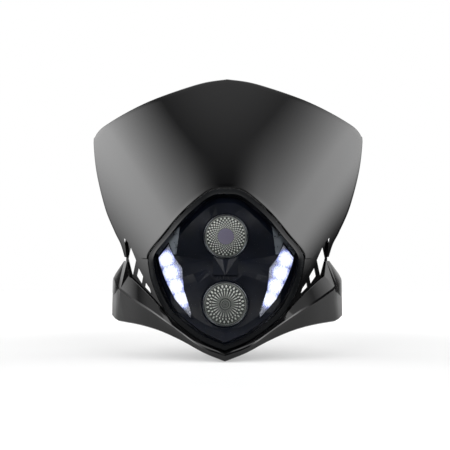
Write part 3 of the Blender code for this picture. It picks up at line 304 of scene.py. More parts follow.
def loft(rings, start=None, end=None):
    """Mesh through rings of points, ended by poles where they are given."""
    bm = bmesh.new()
    loops = [[bm.verts.new(p) for p in ring] for ring in rings]
    count = len(loops[0])
    for a, b in zip(loops, loops[1:]):
        for k in range(count):
            n = (k + 1) % count
            bm.faces.new((a[k], a[n], b[n], b[k]))
    for loop, pole in ((loops[0], start), (loops[-1], end)):
        if pole is None:
            continue
        tip = bm.verts.new(pole)
        for k in range(count):
            bm.faces.new((loop[k], loop[(k + 1) % count], tip))
    return bm


def ring_loft(rings):
    """Mesh through rings of points whose last one is joined to the first."""
    bm = loft([*rings, rings[0]])
    bmesh.ops.remove_doubles(bm, verts=bm.verts, dist=WELD)
    return bm


def circle(centre, radius, depth, count):
    """Points round an axis along Y, at a depth behind the centre."""
    turns = [2 * math.pi * k / count for k in range(count)]
    return [centre + Vector((radius * math.cos(turn), depth, radius * math.sin(turn)))
            for turn in turns]


def turned(profile, centre, count=72):
    """Round body about an axis along Y, from radius and depth behind the centre. The profile ends
    on the axis, or else it goes round and meets itself."""
    rings = [circle(centre, radius, depth, count) for radius, depth in profile if radius]
    start, end = [None if radius else centre + Vector((0.0, depth, 0.0))
                  for radius, depth in (profile[0], profile[-1])]
    if start is None and end is None:
        return ring_loft(rings)
    return loft(rings, start, end)


def ends_and_size(node):
    """Middles of the front and the back of a node's box, and its size."""
    low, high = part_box(node)
    middle = (low + high) / 2
    return Vector((middle.x, low.y, middle.z)), Vector((middle.x, high.y, middle.z)), high - low


# Materials


def add_node(tree, kind, *ordered, **named):
    """Adds a node with its settings and links. A name that the node has is a setting. The rest are
    inputs, in order or by name: values, outputs, or nodes that stand for their first output."""
    node = tree.nodes.new("ShaderNode" + kind)
    for key in [key for key in named if hasattr(node, key)]:
        setattr(node, key, named.pop(key))
    for key, value in [*enumerate(ordered), *named.items()]:
        if isinstance(value, bpy.types.Node):
            value = value.outputs[0]
        if isinstance(value, bpy.types.NodeSocket):
            tree.links.new(value, node.inputs[key])
        else:
            node.inputs[key].default_value = value
    return node


def new_material(name, settings):
    """Material with a Principled shader whose even values stand on its own sockets."""
    material = bpy.data.materials.new(name)
    material.use_nodes = True
    shader = material.node_tree.nodes["Principled BSDF"]
    for key, value in settings.items():
        shader.inputs[key].default_value = value
    return material, material.node_tree, shader


def made_once(make):
    """The material that a function makes, which is made by the first call only."""
    return bpy.data.materials.get(make.__name__) or make()


def set_stops(ramp, stops):
    """Gives a colour ramp its stops, each a position and an sRGB hex value."""
    elements = ramp.color_ramp.elements
    elements[0].position = stops[0][0]
    elements[-1].position = stops[-1][0]
    for position, _ in stops[1:-1]:
        elements.new(position)
    for element, (_, code) in zip(elements, stops):
        element.color = (*linear(code), 1.0)


def uneven(tree, shader, size, shades=None, roughness=None, relief=0.0, detail=3.0, stretch=None):
    """Varies a surface over noise patches of about a size: its colour between two near shades, its
    roughness between two values, and its height by a depth in metres."""
    place = add_node(tree, "TexCoord").outputs["Object"]
    if stretch:
        place = add_node(tree, "VectorMath", place, stretch, operation='MULTIPLY')
    noise = add_node(tree, "TexNoise", place, Scale=1 / size, Detail=detail)
    if shades:
        ramp = add_node(tree, "ValToRGB", noise)
        set_stops(ramp, list(zip(SHADE_RANGE, shades)))
        tree.links.new(ramp.outputs["Color"], shader.inputs["Base Color"])
    if roughness:
        spread = add_node(tree, "MapRange", noise, *ROUGHNESS_RANGE, *roughness)
        tree.links.new(spread.outputs["Result"], shader.inputs["Roughness"])
    if relief:
        raised = add_node(tree, "Bump", Strength=1.0, Distance=relief, Height=noise)
        tree.links.new(raised.outputs["Normal"], shader.inputs["Normal"])
    return noise


def moulded_gloss_abs():
    """ABS moulded in a polished tool and lacquered: deep black, clear highlights and slight orange
    peel."""
    material, tree, shader = new_material("moulded_gloss_abs", {
        "IOR": 1.54, "Specular IOR Level": 0.05, "Coat Weight": 1.0, "Coat Roughness": 0.05,
        "Coat IOR": 1.5})
    uneven(tree, shader, 60 * MM, ("#040405", "#060607"), (0.12, 0.17), detail=2.0)
    uneven(tree, shader, 6 * MM, relief=0.01 * MM, detail=1.0)
    return material


def moulded_satin_abs():
    """Black ABS behind the lens: smooth tool, a cool black with clear reflections."""
    material, tree, shader = new_material("moulded_satin_abs", {
        "IOR": 1.54, "Specular IOR Level": 0.12})
    uneven(tree, shader, 25 * MM, ("#05080f", "#090d18"), (0.28, 0.34), detail=2.0)
    return material


def moulded_matt_pp():
    """Polypropylene from a spark-eroded tool: matt black with a fine grain. The real grain of about
    0.2 mm is too fine to show and is drawn at 0.8 mm."""
    material, tree, shader = new_material("moulded_matt_pp", {"IOR": 1.49})
    uneven(tree, shader, 30 * MM, ("#141415", "#1b1b1c"))
    uneven(tree, shader, 0.8 * MM, roughness=(0.48, 0.66), relief=0.05 * MM)
    return material


def moulded_rubber():
    """EPDM rubber: dull grey-black with a slight bloom. Its grain is too fine to show and is drawn
    at 1 mm."""
    material, tree, shader = new_material("moulded_rubber", {"IOR": 1.52})
    uneven(tree, shader, 9 * MM, ("#161617", "#232324"), (0.7, 0.9))
    uneven(tree, shader, 1.0 * MM, relief=0.04 * MM)
    return material


def polished_polycarbonate():
    """Polycarbonate with a hard coat that takes its reflections away: clear, lightly smoked."""
    material, tree, shader = new_material("polished_polycarbonate", {
        "IOR": 1.59, "Specular IOR Level": 0.0, "Alpha": 0.07})
    uneven(tree, shader, 40 * MM, ("#07090c", "#0b0d11"), (0.02, 0.05), detail=2.0)
    return material


def printed_border():
    """Black print on the edge and the skirt of the clear lens: deep black, smooth, dull."""
    material, tree, shader = new_material("printed_border", {
        "IOR": 1.5, "Specular IOR Level": 0.14})
    uneven(tree, shader, 30 * MM, ("#040507", "#07090c"), (0.22, 0.30), detail=2.0)
    return material


def lit_polycarbonate(name, leds):
    """Clear ribbed cover over lit LEDs, with ribs of about 1 mm. The LEDs' glow is painted on it as
    emission: white in front of each one, blue-violet further out, and brighter along the ribs."""
    material, tree, shader = new_material(name, {
        "IOR": 1.59, "Specular IOR Level": 0.6, "Alpha": 0.6, "Emission Strength": 1.1})
    streaks = uneven(tree, shader, 1.0 * MM, ("#6c707b", "#9a9ea8"), (0.10, 0.25), detail=2.0,
                     stretch=(1.0, 1.0, 0.25))
    place = add_node(tree, "TexCoord").outputs["Object"]
    flat = add_node(tree, "VectorMath", place, (1.0, 0.0, 1.0), operation='MULTIPLY')
    nearest = 1.0
    for x, z in leds:
        reach = add_node(tree, "VectorMath", flat, (x, 0.0, z), operation='DISTANCE')
        nearest = add_node(tree, "Math", reach.outputs["Value"], nearest, operation='MINIMUM')
    # Painted glow: emission that fades over 15 mm away from the nearest LED
    painted_glow = add_node(tree, "MapRange", nearest, 15.0 * MM, 2.5 * MM, interpolation_type='SMOOTHSTEP')
    ribs = add_node(tree, "MapRange", streaks, 0.36, 0.60, 0.55, 1.15,
                    interpolation_type='SMOOTHSTEP')
    ramp = add_node(tree, "ValToRGB", add_node(tree, "Math", painted_glow, ribs, operation='MULTIPLY'))
    set_stops(ramp, ((0.0, "#04060f"), (0.19, "#26307a"), (0.36, "#8f9ff2"), (0.56, "#e4e9ff"),
                     (1.0, "#ffffff")))
    tree.links.new(ramp.outputs["Color"], shader.inputs["Emission Color"])
    return material


def metallised_plastic():
    """Aluminium flashed on plastic under vacuum: bright, slightly hazy mirror."""
    material, tree, shader = new_material("metallised_plastic", {"Metallic": 1.0})
    uneven(tree, shader, 5 * MM, ("#c8ccd4", "#e6e9ee"), (0.12, 0.25))
    return material


def chrome_plate():
    """Dark decorative chrome on brass: cool grey mirror."""
    material, tree, shader = new_material("chrome_plate", {"Metallic": 1.0})
    uneven(tree, shader, 8 * MM, ("#686c70", "#828689"), (0.14, 0.24))
    return material


def satin_metallised():
    """Satin metallised plate: grey with a soft sheen."""
    material, tree, shader = new_material("satin_metallised", {"Metallic": 0.8})
    uneven(tree, shader, 12 * MM, ("#656b71", "#787f86"), (0.26, 0.36))
    return material


def zinc_plate():
    """Zinc plated steel: grey with a faint yellow cast. Its marks from tumbling are too fine to
    show and are drawn at 1.5 mm."""
    material, tree, shader = new_material("zinc_plate", {"Metallic": 1.0})
    uneven(tree, shader, 1.5 * MM, ("#8c8c86", "#b2b3ad"), (0.28, 0.45))
    return material


def solder_mask():
    """White solder mask on a glass-fibre board: slightly glossy, faintly mottled."""
    material, tree, shader = new_material("solder_mask", {"IOR": 1.5})
    uneven(tree, shader, 1.0 * MM, ("#d9dce2", "#eceef1"), (0.35, 0.5))
    return material


def lit_epoxy(strength):
    """Clear epoxy over a lit white chip: a cold white glow with a faint cloud in it."""
    material, tree, shader = new_material("lit_epoxy", {
        "IOR": 1.5, "Roughness": 0.15, "Emission Strength": strength})
    cloud = uneven(tree, shader, 2 * MM, ("#e8edff", "#ffffff"))
    ramp = add_node(tree, "ValToRGB", cloud)
    set_stops(ramp, ((0.0, "#c4ceff"), (1.0, "#e6eaff")))
    tree.links.new(ramp.outputs["Color"], shader.inputs["Emission Color"])
    return material


def bulb_glass():
    """Hard quartz bulb: clear with a faint grey."""
    material, tree, shader = new_material("bulb_glass", {"IOR": 1.46, "Transmission Weight": 0.85})
    uneven(tree, shader, 6 * MM, ("#cfd3d6", "#e4e7e9"), (0.02, 0.08))
    return material


def band_height(bands, share, turn):
    """Height, from 0 to about 1, of a pressed pattern at a share of the radius and a turn."""
    height = 0.0
    for arms, twist, start, stop, top in bands:
        if start < share < stop:
            lean = twist * math.log(share)
            first = 1 + math.sin(arms * turn + lean)
            second = 1 + math.sin(arms * turn - lean)
            height += top * first * second / 4
    return height


def pressed_glass(name, centre_z, radius, bands, hub_share, hub_colour):
    """Pressed glass with the bands' pattern, in its relief and painted into its colour. The raised
    seeds carry painted highlights, the hollows between them stay grey-green, and painted light from
    above makes the upper seeds the brighter ones."""
    material, tree, shader = new_material(name, {"IOR": 1.5, "Specular IOR Level": 0.6})
    uneven(tree, shader, 4 * MM, roughness=(0.12, 0.22))
    place = add_node(tree, "SeparateXYZ", add_node(tree, "TexCoord").outputs["Object"])
    x = add_node(tree, "Math", place.outputs["X"], radius, operation='DIVIDE')
    rise = add_node(tree, "Math", place.outputs["Z"], centre_z, operation='SUBTRACT')
    z = add_node(tree, "Math", rise, radius, operation='DIVIDE')
    turn = add_node(tree, "Math", z, x, operation='ARCTAN2')
    squares = [add_node(tree, "Math", value, value, operation='MULTIPLY') for value in (x, z)]
    squared = add_node(tree, "Math", *squares, operation='ADD')
    share = add_node(tree, "Math", squared, operation='SQRT')
    above_zero = add_node(tree, "Math", share, 0.001, operation='ADD')
    along = add_node(tree, "Math", above_zero, math.e, operation='LOGARITHM')
    height = 0.0
    for arms, twist, start, stop, top in bands:
        around = add_node(tree, "Math", turn, arms, operation='MULTIPLY')
        lean = add_node(tree, "Math", along, twist, operation='MULTIPLY')
        seeds = top / 4
        for direction in ('ADD', 'SUBTRACT'):
            arm = add_node(tree, "Math", around, lean, operation=direction)
            sine = add_node(tree, "Math", arm, operation='SINE')
            wave = add_node(tree, "Math", sine, 1.0, operation='ADD')
            seeds = add_node(tree, "Math", wave, seeds, operation='MULTIPLY')
        inner = add_node(tree, "Math", share, start, operation='GREATER_THAN')
        outer = add_node(tree, "Math", share, stop, operation='LESS_THAN')
        inside = add_node(tree, "Math", inner, outer, operation='MULTIPLY')
        band = add_node(tree, "Math", seeds, inside, operation='MULTIPLY')
        height = add_node(tree, "Math", band, height, operation='ADD')
    # Painted light from above: the glass is drawn brighter towards its top, from 0.55 at the bottom
    # to 1.0
    light = add_node(tree, "MapRange", z, -0.9, 0.6, 0.55, 1.0, interpolation_type='SMOOTHSTEP')
    # Painted highlights: the pattern's height is drawn as colour, light on the raised seeds and
    # grey-green in the hollows
    ramp = add_node(tree, "ValToRGB", add_node(tree, "Math", height, light, operation='MULTIPLY'))
    set_stops(ramp, ((0.04, "#232826"), (0.55, "#bfc3bc")))
    past_hub = add_node(tree, "Math", share, hub_share, operation='GREATER_THAN')
    mix = add_node(tree, "Mix", past_hub, data_type='RGBA')
    hub, rest = [socket for socket in mix.inputs if socket.type == 'RGBA']
    hub.default_value = (*linear(hub_colour), 1.0)
    tree.links.new(ramp.outputs["Color"], rest)
    shade = next(socket for socket in mix.outputs if socket.type == 'RGBA')
    tree.links.new(shade, shader.inputs["Base Color"])
    raised = add_node(tree, "Bump", Strength=0.8, Distance=0.5 * MM, Height=height)
    tree.links.new(raised.outputs["Normal"], shader.inputs["Normal"])
    return material


# Sizes and colours that a user may change


class MaskSizes(bpy.types.PropertyGroup):
    """Sizes of the finish that the solids leave open."""
    edge_roll: bpy.props.FloatProperty(
        name="Edge roll", description="Radius of the shield's rolled edge", default=0.0014,
        min=0.0003, unit='LENGTH')
    edge_round: bpy.props.FloatProperty(
        name="Edge round", description="Rounding of the moulded edges", default=0.0005,
        min=0.0001, unit='LENGTH')
    flute_depth: bpy.props.FloatProperty(
        name="Flute depth", description="Depth of the pattern pressed in the light glasses",
        default=0.0006, min=0.0, unit='LENGTH')


class MaskLight(bpy.types.PropertyGroup):
    """Light on and from the mask."""
    led_strength: bpy.props.FloatProperty(
        name="LED strength", description="Brightness of the lit LEDs", default=2.2, min=0.0)
    box_strength: bpy.props.FloatProperty(
        name="Soft box strength", description="Brightness of the soft box overhead", default=1.0,
        min=0.0)
    floor_colour: bpy.props.FloatVectorProperty(
        name="Floor colour", description="Colour of the studio floor", subtype='COLOR', size=3,
        default=linear("#b4b4b4"), min=0.0, max=1.0)


# Pieces


def shield_outline():
    """Right half of the shield's outline, from its apex round the corner to its foot."""
    rise = SHIELD_TOP_Z - SHIELD_CORNER_Z
    drop = SHIELD_CORNER_Z - SHIELD_FOOT_Z
    flare = SHIELD_HALF_WIDTH - SHIELD_FOOT_HALF_WIDTH
    keys = [Vector((0.0, SHIELD_TOP_Z))]
    keys += [Vector((x * SHIELD_HALF_WIDTH, SHIELD_CORNER_Z + z * rise)) for x, z in SHIELD_BROW]
    keys += [Vector((SHIELD_FOOT_HALF_WIDTH + x * flare, SHIELD_CORNER_Z - z * drop))
             for x, z in SHIELD_FLANK]
    keys.append(Vector((SHIELD_FOOT_HALF_WIDTH, SHIELD_FOOT_Z)))
    return smooth_path(keys, 10)


def shield_shell(roll):
    """Mesh of the shield's wall with quarter-round edges."""
    half = []
    for outer in shield_outline():
        angle = max(math.atan2(outer.y - LENS_CENTRE_Z, outer.x), SHIELD_FOOT_ANGLE)
        outer.x = min(outer.x, CAD_BOX[1].x)
        half.append((Vector(lens_place(angle, LENS_REVEAL)), outer))
    mirrored = [(Vector((-inner.x, inner.y)), Vector((-outer.x, outer.y)))
                for inner, outer in half[1:]]
    bows = 30
    quarter = [math.radians(angle) for angle in (0, 20, 40, 60, 78)]
    front = []
    back = []
    for inner, outer in half[::-1] + mirrored:
        length = (outer - inner).length
        places = [(roll * (1 - math.cos(a)) / length, roll * (1 - math.sin(a))) for a in quarter]
        start = roll / length
        middle = [(start + (1 - 2 * start) * k / bows, 0.0) for k in range(bows + 1)]
        ends = [(1 - share, depth) for share, depth in reversed(places)]
        front_row = []
        back_row = []
        for share, depth in places + middle + ends:
            point = inner.lerp(outer, share)
            front_row.append(behind_skin(point.x, point.y, depth))
            back_row.append(behind_skin(point.x, point.y, SHIELD_WALL))
        front.append(front_row)
        back.append(back_row)
    bm = bmesh.new()
    grids = [[[bm.verts.new(p) for p in row] for row in grid] for grid in (front, back)]
    last = len(front) - 1
    width = len(front[0]) - 1
    for grid in grids:
        for i in range(last):
            for j in range(width):
                bm.faces.new((grid[i][j], grid[i + 1][j], grid[i + 1][j + 1], grid[i][j + 1]))
    rim = [(i, 0) for i in range(last + 1)] + [(last, j) for j in range(1, width + 1)]
    rim += [(i, width) for i in reversed(range(last))] + [(0, j) for j in reversed(range(1, width))]
    for a, b in zip(rim, rim[1:] + rim[:1]):
        bm.faces.new((grids[0][a[0]][a[1]], grids[0][b[0]][b[1]],
                      grids[1][b[0]][b[1]], grids[1][a[0]][a[1]]))
    return bm


def straight_cut(outline, side):
    """Prism along Y over an outline, for a cut through everything."""
    front_y = -0.2
    back_y = 0.1
    bm = loft([[Vector((side * x, y, z)) for x, z in outline] for y in (front_y, back_y)])
    for y in (front_y, back_y):
        bm.faces.new([v for v in bm.verts if (v.co.y > 0) == (y > 0)])
    return bm


def cut_away(obj, tools):
    """Cuts meshes from an object and keeps the result as its mesh."""
    sharp = math.radians(32)
    helpers = []
    for bm in tools:
        bmesh.ops.recalc_face_normals(bm, faces=bm.faces)
        mesh = bpy.data.meshes.new("cut")
        bm.to_mesh(mesh)
        bm.free()
        helper = bpy.data.objects.new("cut", mesh)
        bpy.context.scene.collection.objects.link(helper)
        modifier = obj.modifiers.new("cut", 'BOOLEAN')
        modifier.object = helper
        modifier.operation = 'DIFFERENCE'
        modifier.solver = 'EXACT'
        helpers.append(helper)
    graph = bpy.context.evaluated_depsgraph_get()
    result = bpy.data.meshes.new_from_object(obj.evaluated_get(graph))
    obj.modifiers.clear()
    obj.data = result
    for helper in helpers:
        bpy.data.objects.remove(helper)
    result.shade_smooth()
    result.set_sharp_from_angle(angle=sharp)


def fittings_behind(node, depth):
    """The bosses and lugs of a moulding: what stands behind its wall by more than a depth."""
    into_wall = 0.0007
    bm = solid_copy(node)
    gone = []
    for face in bm.faces:
        behind = [v.co.y - behind_skin(v.co.x, v.co.z, SHIELD_WALL).y for v in face.verts]
        if min(behind) < -into_wall or max(behind) < depth:
            gone.append(face)
    bmesh.ops.delete(bm, geom=gone, context='FACES')
    return bm


def make_shield(sizes):
    """Shield: fine curved wall with rolled edges, scooped below, and its bosses and lugs behind."""
    gloss = made_once(moulded_gloss_abs)
    shield = piece("shield", shield_shell(sizes.edge_roll), gloss)
    cut_away(shield, [straight_cut(SCOOP, side) for side in (-1, 1)])
    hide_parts("upper_shield")
    lugs = piece("shield_lugs_and_bosses", fittings_behind("upper_shield", FITTING_DEPTH), gloss)
    round_edges(lugs, sizes.edge_round)


def make_cowl(sizes):
    """Cowl and louvre panels with softened edges."""
    gloss = made_once(moulded_gloss_abs)
    bevel = 0.6 * sizes.edge_round
    dressed("cowl", "lower_cowl", gloss, bevel, smooth=13.0)
    for label in ("left", "right"):
        dressed("louvres_" + label, "louvre_panel_" + label, gloss, bevel,
                smooth=20.0)


def seal_reach(angle):
    """How far the seal reaches outside the lens: a lip, and a tab in the corner under each louvre
    panel that closes the gap there."""
    from_tab = abs(math.degrees(folded(angle)) - SEAL_TAB_ANGLE)
    share = min(max((SEAL_TAB_HALF_SPREAD - from_tab) / SEAL_TAB_SLOPE, 0.0), 1.0)
    return SEAL_LIP + SEAL_TAB * share


def lens_rings(outside, depths, count):
    """Rings along the lamp window's edge at true distances outside it, which may change with the
    angle, and depths behind the skin."""
    rings = []
    for out, depth in zip(outside, depths):
        ring = []
        for k in range(count):
            angle = 2 * math.pi * k / count - math.pi / 2
            edge_x, edge_z = lens_place(angle, 0.0)
            x, z = lens_place(angle, out(angle) if callable(out) else out)
            ring.append(Vector((x, skin_y(edge_x, edge_z) + depth, z)))
        rings.append(ring)
    return rings


def dome_ring(share, behind):
    """Ring on the lens's dome at a share of the way to its edge, a true depth behind its front."""
    ring = []
    for k in range(LENS_SPOKES):
        angle = 2 * math.pi * k / LENS_SPOKES - math.pi / 2
        reach = share * lens_radius(angle)
        x = reach * math.cos(angle)
        z = LENS_CENTRE_Z + reach * math.sin(angle)
        y = skin_y(x, z) - LENS_PROUD - LENS_BULGE * (1 - share * share)
        ring.append(Vector((x, y + behind * skin_stretch(x, z), z)))
    return ring


def make_lens():
    """Lens: the clear dome, the border with its rounded shoulder and skirt, and the seal."""
    first = 0.06
    steps = 20
    shares = [first + (LENS_EDGE_SHARE - first) * k / steps for k in range(steps + 1)]
    front = Vector((0.0, skin_y(0.0, LENS_CENTRE_Z) - LENS_PROUD - LENS_BULGE, LENS_CENTRE_Z))
    back = front + Vector((0.0, LENS_WALL * skin_stretch(0.0, LENS_CENTRE_Z), 0.0))
    rings = [dome_ring(share, 0.0) for share in shares]
    rings += [dome_ring(share, LENS_WALL) for share in reversed(shares)]
    lens = piece("clear_lens", loft(rings, front, back), polished_polycarbonate(), 50.0)
    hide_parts("lamp_lens")

    border_share = LENS_EDGE_SHARE + 0.001
    shoulder_depth = BORDER_SHOULDER + LENS_PROUD
    turns = angles(10, 90, 20)
    rings = [dome_ring(border_share, LENS_WALL), dome_ring(border_share, 0.0)]
    rings += lens_rings([-BORDER_SHOULDER * (1 - math.sin(a)) for a in turns],
                        [-LENS_PROUD + shoulder_depth * (1 - math.cos(a)) for a in turns],
                        LENS_SPOKES)
    rings += lens_rings([0.0, -LENS_WALL, -LENS_WALL],
                        [BORDER_SKIRT, BORDER_SKIRT, BORDER_SHOULDER + 0.5 * LENS_WALL],
                        LENS_SPOKES)
    border = piece("lens_border", ring_loft(rings), printed_border(), 50.0)
    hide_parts("lamp_lens")

    rings = lens_rings([-LENS_WALL, 0.0, seal_reach, seal_reach, -LENS_WALL],
                       [SEAL_FRONT, SEAL_FRONT, SEAL_FRONT, SEAL_BACK, SEAL_BACK], 2 * LENS_SPOKES)
    seal = piece("lens_seal", ring_loft(rings), made_once(moulded_rubber), 40.0)
    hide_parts("lens_gasket")


def make_bezel(sizes):
    """Bezel and the bright plates let into it."""
    bevel = 0.5 * sizes.edge_round
    dressed("inner_bezel", "lamp_bezel", moulded_satin_abs(), bevel, 13.0)
    plate = satin_metallised()
    for label in ("left", "right"):
        dressed("bright_plate_" + label, "side_trim_" + label, plate, bevel)


def make_housing():
    """Lamp housing with softened edges."""
    matt = made_once(moulded_matt_pp)
    dressed("lamp_bucket", "lamp_housing", matt, HOUSING_ROUND,
            24.0)


def glass_mesh(bands, centre, radius, thickness, dome, depth):
    """Pressed glass: domed front with the bands' pattern, a rounded edge and a flat back."""
    count = 180
    shares = [0.08, 0.16, 0.22, 0.27, 0.31] + [0.34 + 0.60 * k / 22 for k in range(23)]
    rings = []
    for share in shares:
        ring = []
        for k in range(count):
            turn = 2 * math.pi * k / count
            y = -dome * (1 - share * share) - depth * band_height(bands, share, turn)
            x = share * radius * math.cos(turn)
            ring.append(centre + Vector((x, y, share * radius * math.sin(turn))))
        rings.append(ring)
    edge = ((0.965, -0.10 * dome), (0.99, 0.15 * dome), (1.0, 0.4 * dome), (1.0, thickness))
    rings += [circle(centre, share * radius, behind, count) for share, behind in edge]
    return loft(rings, centre + Vector((0.0, -dome, 0.0)), centre + Vector((0.0, thickness, 0.0)))


def make_round_light(name, flute_depth):
    """Round light: pressed glass, ring, reflector, bulb, holder and rubber boot."""
    hub_share, hub_colour, bands = GLASSES[name]
    front, _, size = ends_and_size(name + "_light_glass")
    radius = size.x / 2
    centre = front + Vector((0.0, GLASS_DOME, 0.0))
    glass = pressed_glass(name + "_pressed_glass", centre.z, radius, bands, hub_share, hub_colour)
    mesh = glass_mesh(bands, centre, radius, size.y - GLASS_DOME, 0.7 * GLASS_DOME,
                      0.5 * flute_depth)
    obj = piece(name + "_glass", mesh, glass, 60.0)
    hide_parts(name + "_light_glass")

    ring_front, _, ring_size = ends_and_size(name + "_light_ring")
    outer = ring_size.x / 2
    inner = radius + RING_CLEARANCE
    wall = outer - inner
    bead = [(inner + wall * (0.5 - 0.5 * math.cos(a)), RING_BEAD - RING_BEAD * math.sin(a))
            for a in angles(0, 180, 18)]
    bead += [(outer, ring_size.y), (inner, ring_size.y)]
    obj = piece(name + "_ring", turned(bead, ring_front, 96), made_once(chrome_plate))
    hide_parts(name + "_light_ring")

    mirror = made_once(metallised_plastic)
    quartz = made_once(bulb_glass)
    matt = made_once(moulded_matt_pp)
    dressed(name + "_bowl", name + "_reflector", mirror, 0.0, 40.0)
    dressed(name + "_quartz_bulb", name + "_bulb", quartz, 0.0, 40.0)
    dressed(name + "_contact_block", name + "_bulb_holder", matt,
            FITTING_ROUND)
    make_boot(name)


def make_boot(name):
    """Rubber boot: ribbed collar, dished end and a closed nipple for the wire."""
    start, _, size = ends_and_size(name + "_rubber_boot")
    outer = size.x / 2
    length = size.y
    wall = 0.0020
    chamfer = 0.0006
    first_groove = 0.0016
    groove_pitch = 0.0022
    groove_width = 0.0017
    groove_depth = 0.0007
    round_end = 0.0030
    nipple_height = 0.0050
    nipple = 0.00735
    end = length - nipple_height
    inner = outer - wall
    profile = [(0.0, end - wall), (inner, end - wall), (inner, 0.0), (outer - 0.0004, 0.0),
               (outer, chamfer)]
    for groove in range(3):
        at = first_groove + groove_pitch * groove
        profile += [(outer, at), (outer - groove_depth, at + chamfer),
                    (outer - groove_depth, at + groove_width - chamfer), (outer, at + groove_width)]
    profile += [(outer - round_end * (1 - math.cos(a)), end - round_end + round_end * math.sin(a))
                for a in angles(0, 90, 15)]
    profile += [(nipple + 0.0028, end + 0.0004), (nipple + 0.0010, end + 0.0016),
                (nipple, length - 0.0012), (nipple - 0.0010, length), (0.6 * nipple, length),
                (0.5 * nipple, length - chamfer), (0.0, length - chamfer)]
    obj = piece(name + "_boot", turned(profile, start), made_once(moulded_rubber), 40.0)
    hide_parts(name + "_rubber_boot")


def make_led(node, lit):
    """LED: a flange and a round-nosed body that points forward."""
    _, back, size = ends_and_size(node)
    length = size.y
    radius = 0.0025
    flange_radius = 0.0030
    flange_depth = 0.0010
    profile = [(0.0, 0.0), (flange_radius, 0.0), (flange_radius, -flange_depth),
               (radius, -flange_depth)]
    profile += [(radius * math.cos(a), radius - length - radius * math.sin(a))
                for a in angles(0, 75, 15)]
    profile.append((0.0, -length))
    obj = piece("lit_" + node, turned(profile, back, 32), lit)
    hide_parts(node)


def make_led_clusters(strength):
    """LED clusters: bright tray, white board, lit LEDs and the clear bolt-shaped cover with the
    LEDs' glow painted on it.
    """
    mirror = made_once(metallised_plastic)
    board = solder_mask()
    lit = lit_epoxy(strength)
    for label in ("left", "right"):
        dressed("led_reflector_" + label, "led_tray_" + label, mirror,
                TRAY_ROUND)
        dressed("led_circuit_" + label, "led_board_" + label, board)
        nodes = [f"led_{label}_{index}" for index in range(1, 5)]
        fronts = [ends_and_size(node)[0] for node in nodes]
        window = lit_polycarbonate("lit_polycarbonate_" + label, [(f.x, f.z) for f in fronts])
        dressed("led_window_" + label, "led_cover_" + label, window,
                HOUSING_ROUND)
        for node in nodes:
            make_led(node, lit)


def make_screw(place, steel):
    """Pan-head screw with a grooved shank and a cross recess."""
    node = "lamp_screw_" + place
    front, back, size = ends_and_size(node)
    radius = size.x / 2
    head = 0.0028
    shank_radius = 0.0020
    root_radius = 0.0016
    point = 0.0012
    plain = 0.0006
    turns = 10
    seat = Vector((back.x, back.y - head, back.z))
    shank = seat.y - front.y
    profile = [(0.0, head)]
    profile += [(radius * math.sin(a), head * (0.35 + 0.65 * math.cos(a)))
                for a in angles(15, 90, 15)]
    profile += [(radius, 0.0), (shank_radius, 0.0)]
    for k in range(turns):
        at = -plain - (shank - 2 * plain) * k / turns
        profile += [(shank_radius, at), (root_radius, at - 0.35 * shank / turns)]
    profile += [(point, -shank), (0.0, -shank)]
    obj = piece("pan_screw_" + place, turned(profile, seat, 32), steel)
    bottom = (0.45, head - 0.0016)
    mouth = (1.0, head + 0.0004)
    cross = []
    for width, height in ((0.0042, 0.0009), (0.0009, 0.0042)):
        bm = loft([[seat + Vector((x * width * share / 2, y, z * height * share / 2))
                    for x, z in ((-1, -1), (1, -1), (1, 1), (-1, 1))]
                   for share, y in (bottom, mouth)])
        for _, y in (bottom, mouth):
            bm.faces.new([v for v in bm.verts if abs(v.co.y - seat.y - y) < WELD])
        cross.append(bm)
    cut_away(obj, cross)
    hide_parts(node)


def make_fittings():
    """Screws with cross recesses, the wire gland and the breather cap."""
    steel = zinc_plate()
    for height in ("upper", "lower"):
        for label in ("left", "right"):
            make_screw(f"{height}_{label}", steel)
    matt = made_once(moulded_matt_pp)
    dressed("gland", "wire_gland", matt, FITTING_ROUND)
    dressed("breather", "breather_cap", matt, FITTING_ROUND)


# Stage


def make_soft_box(strength):
    """Soft box of a given brightness, overhead and a little behind the mask."""
    width = 1.6
    height = 0.9
    place = Vector((0.0, 0.35, 1.70))
    data = bpy.data.lights.new("overhead_box", 'AREA')
    data.shape = 'RECTANGLE'
    data.size = width
    data.size_y = height
    data.energy = strength * math.pi * width * height
    obj = bpy.data.objects.new("overhead_box", data)
    bpy.context.scene.collection.objects.link(obj)
    obj.location = place
    obj.rotation_euler = (Vector() - place).to_track_quat('-Z', 'Y').to_euler()


def paint_floor(colour):
    """Matt white floor. What the lamps leave it short of white is added where it is seen."""
    material, tree, shader = new_material("painted_floor", {
        "Base Color": (*colour, 1.0), "Roughness": 0.7, "Specular IOR Level": 0.1,
        "Emission Color": (1.0, 1.0, 1.0, 1.0)})
    ray = add_node(tree, "LightPath")
    seen = add_node(tree, "Math", ray.outputs["Is Camera Ray"], ray.outputs["Is Transmission Ray"],
                    operation='MAXIMUM')
    place = add_node(tree, "TexCoord").outputs["Object"]
    reach = add_node(tree, "VectorMath", place, operation='LENGTH').outputs["Value"]
    lift = add_node(tree, "MapRange", reach, *FLOOR_REACH, *FLOOR_LIFTS,
                    interpolation_type='SMOOTHSTEP')
    glow = add_node(tree, "Math", seen, lift, operation='MULTIPLY')
    tree.links.new(glow.outputs["Value"], shader.inputs["Emission Strength"])
    return material


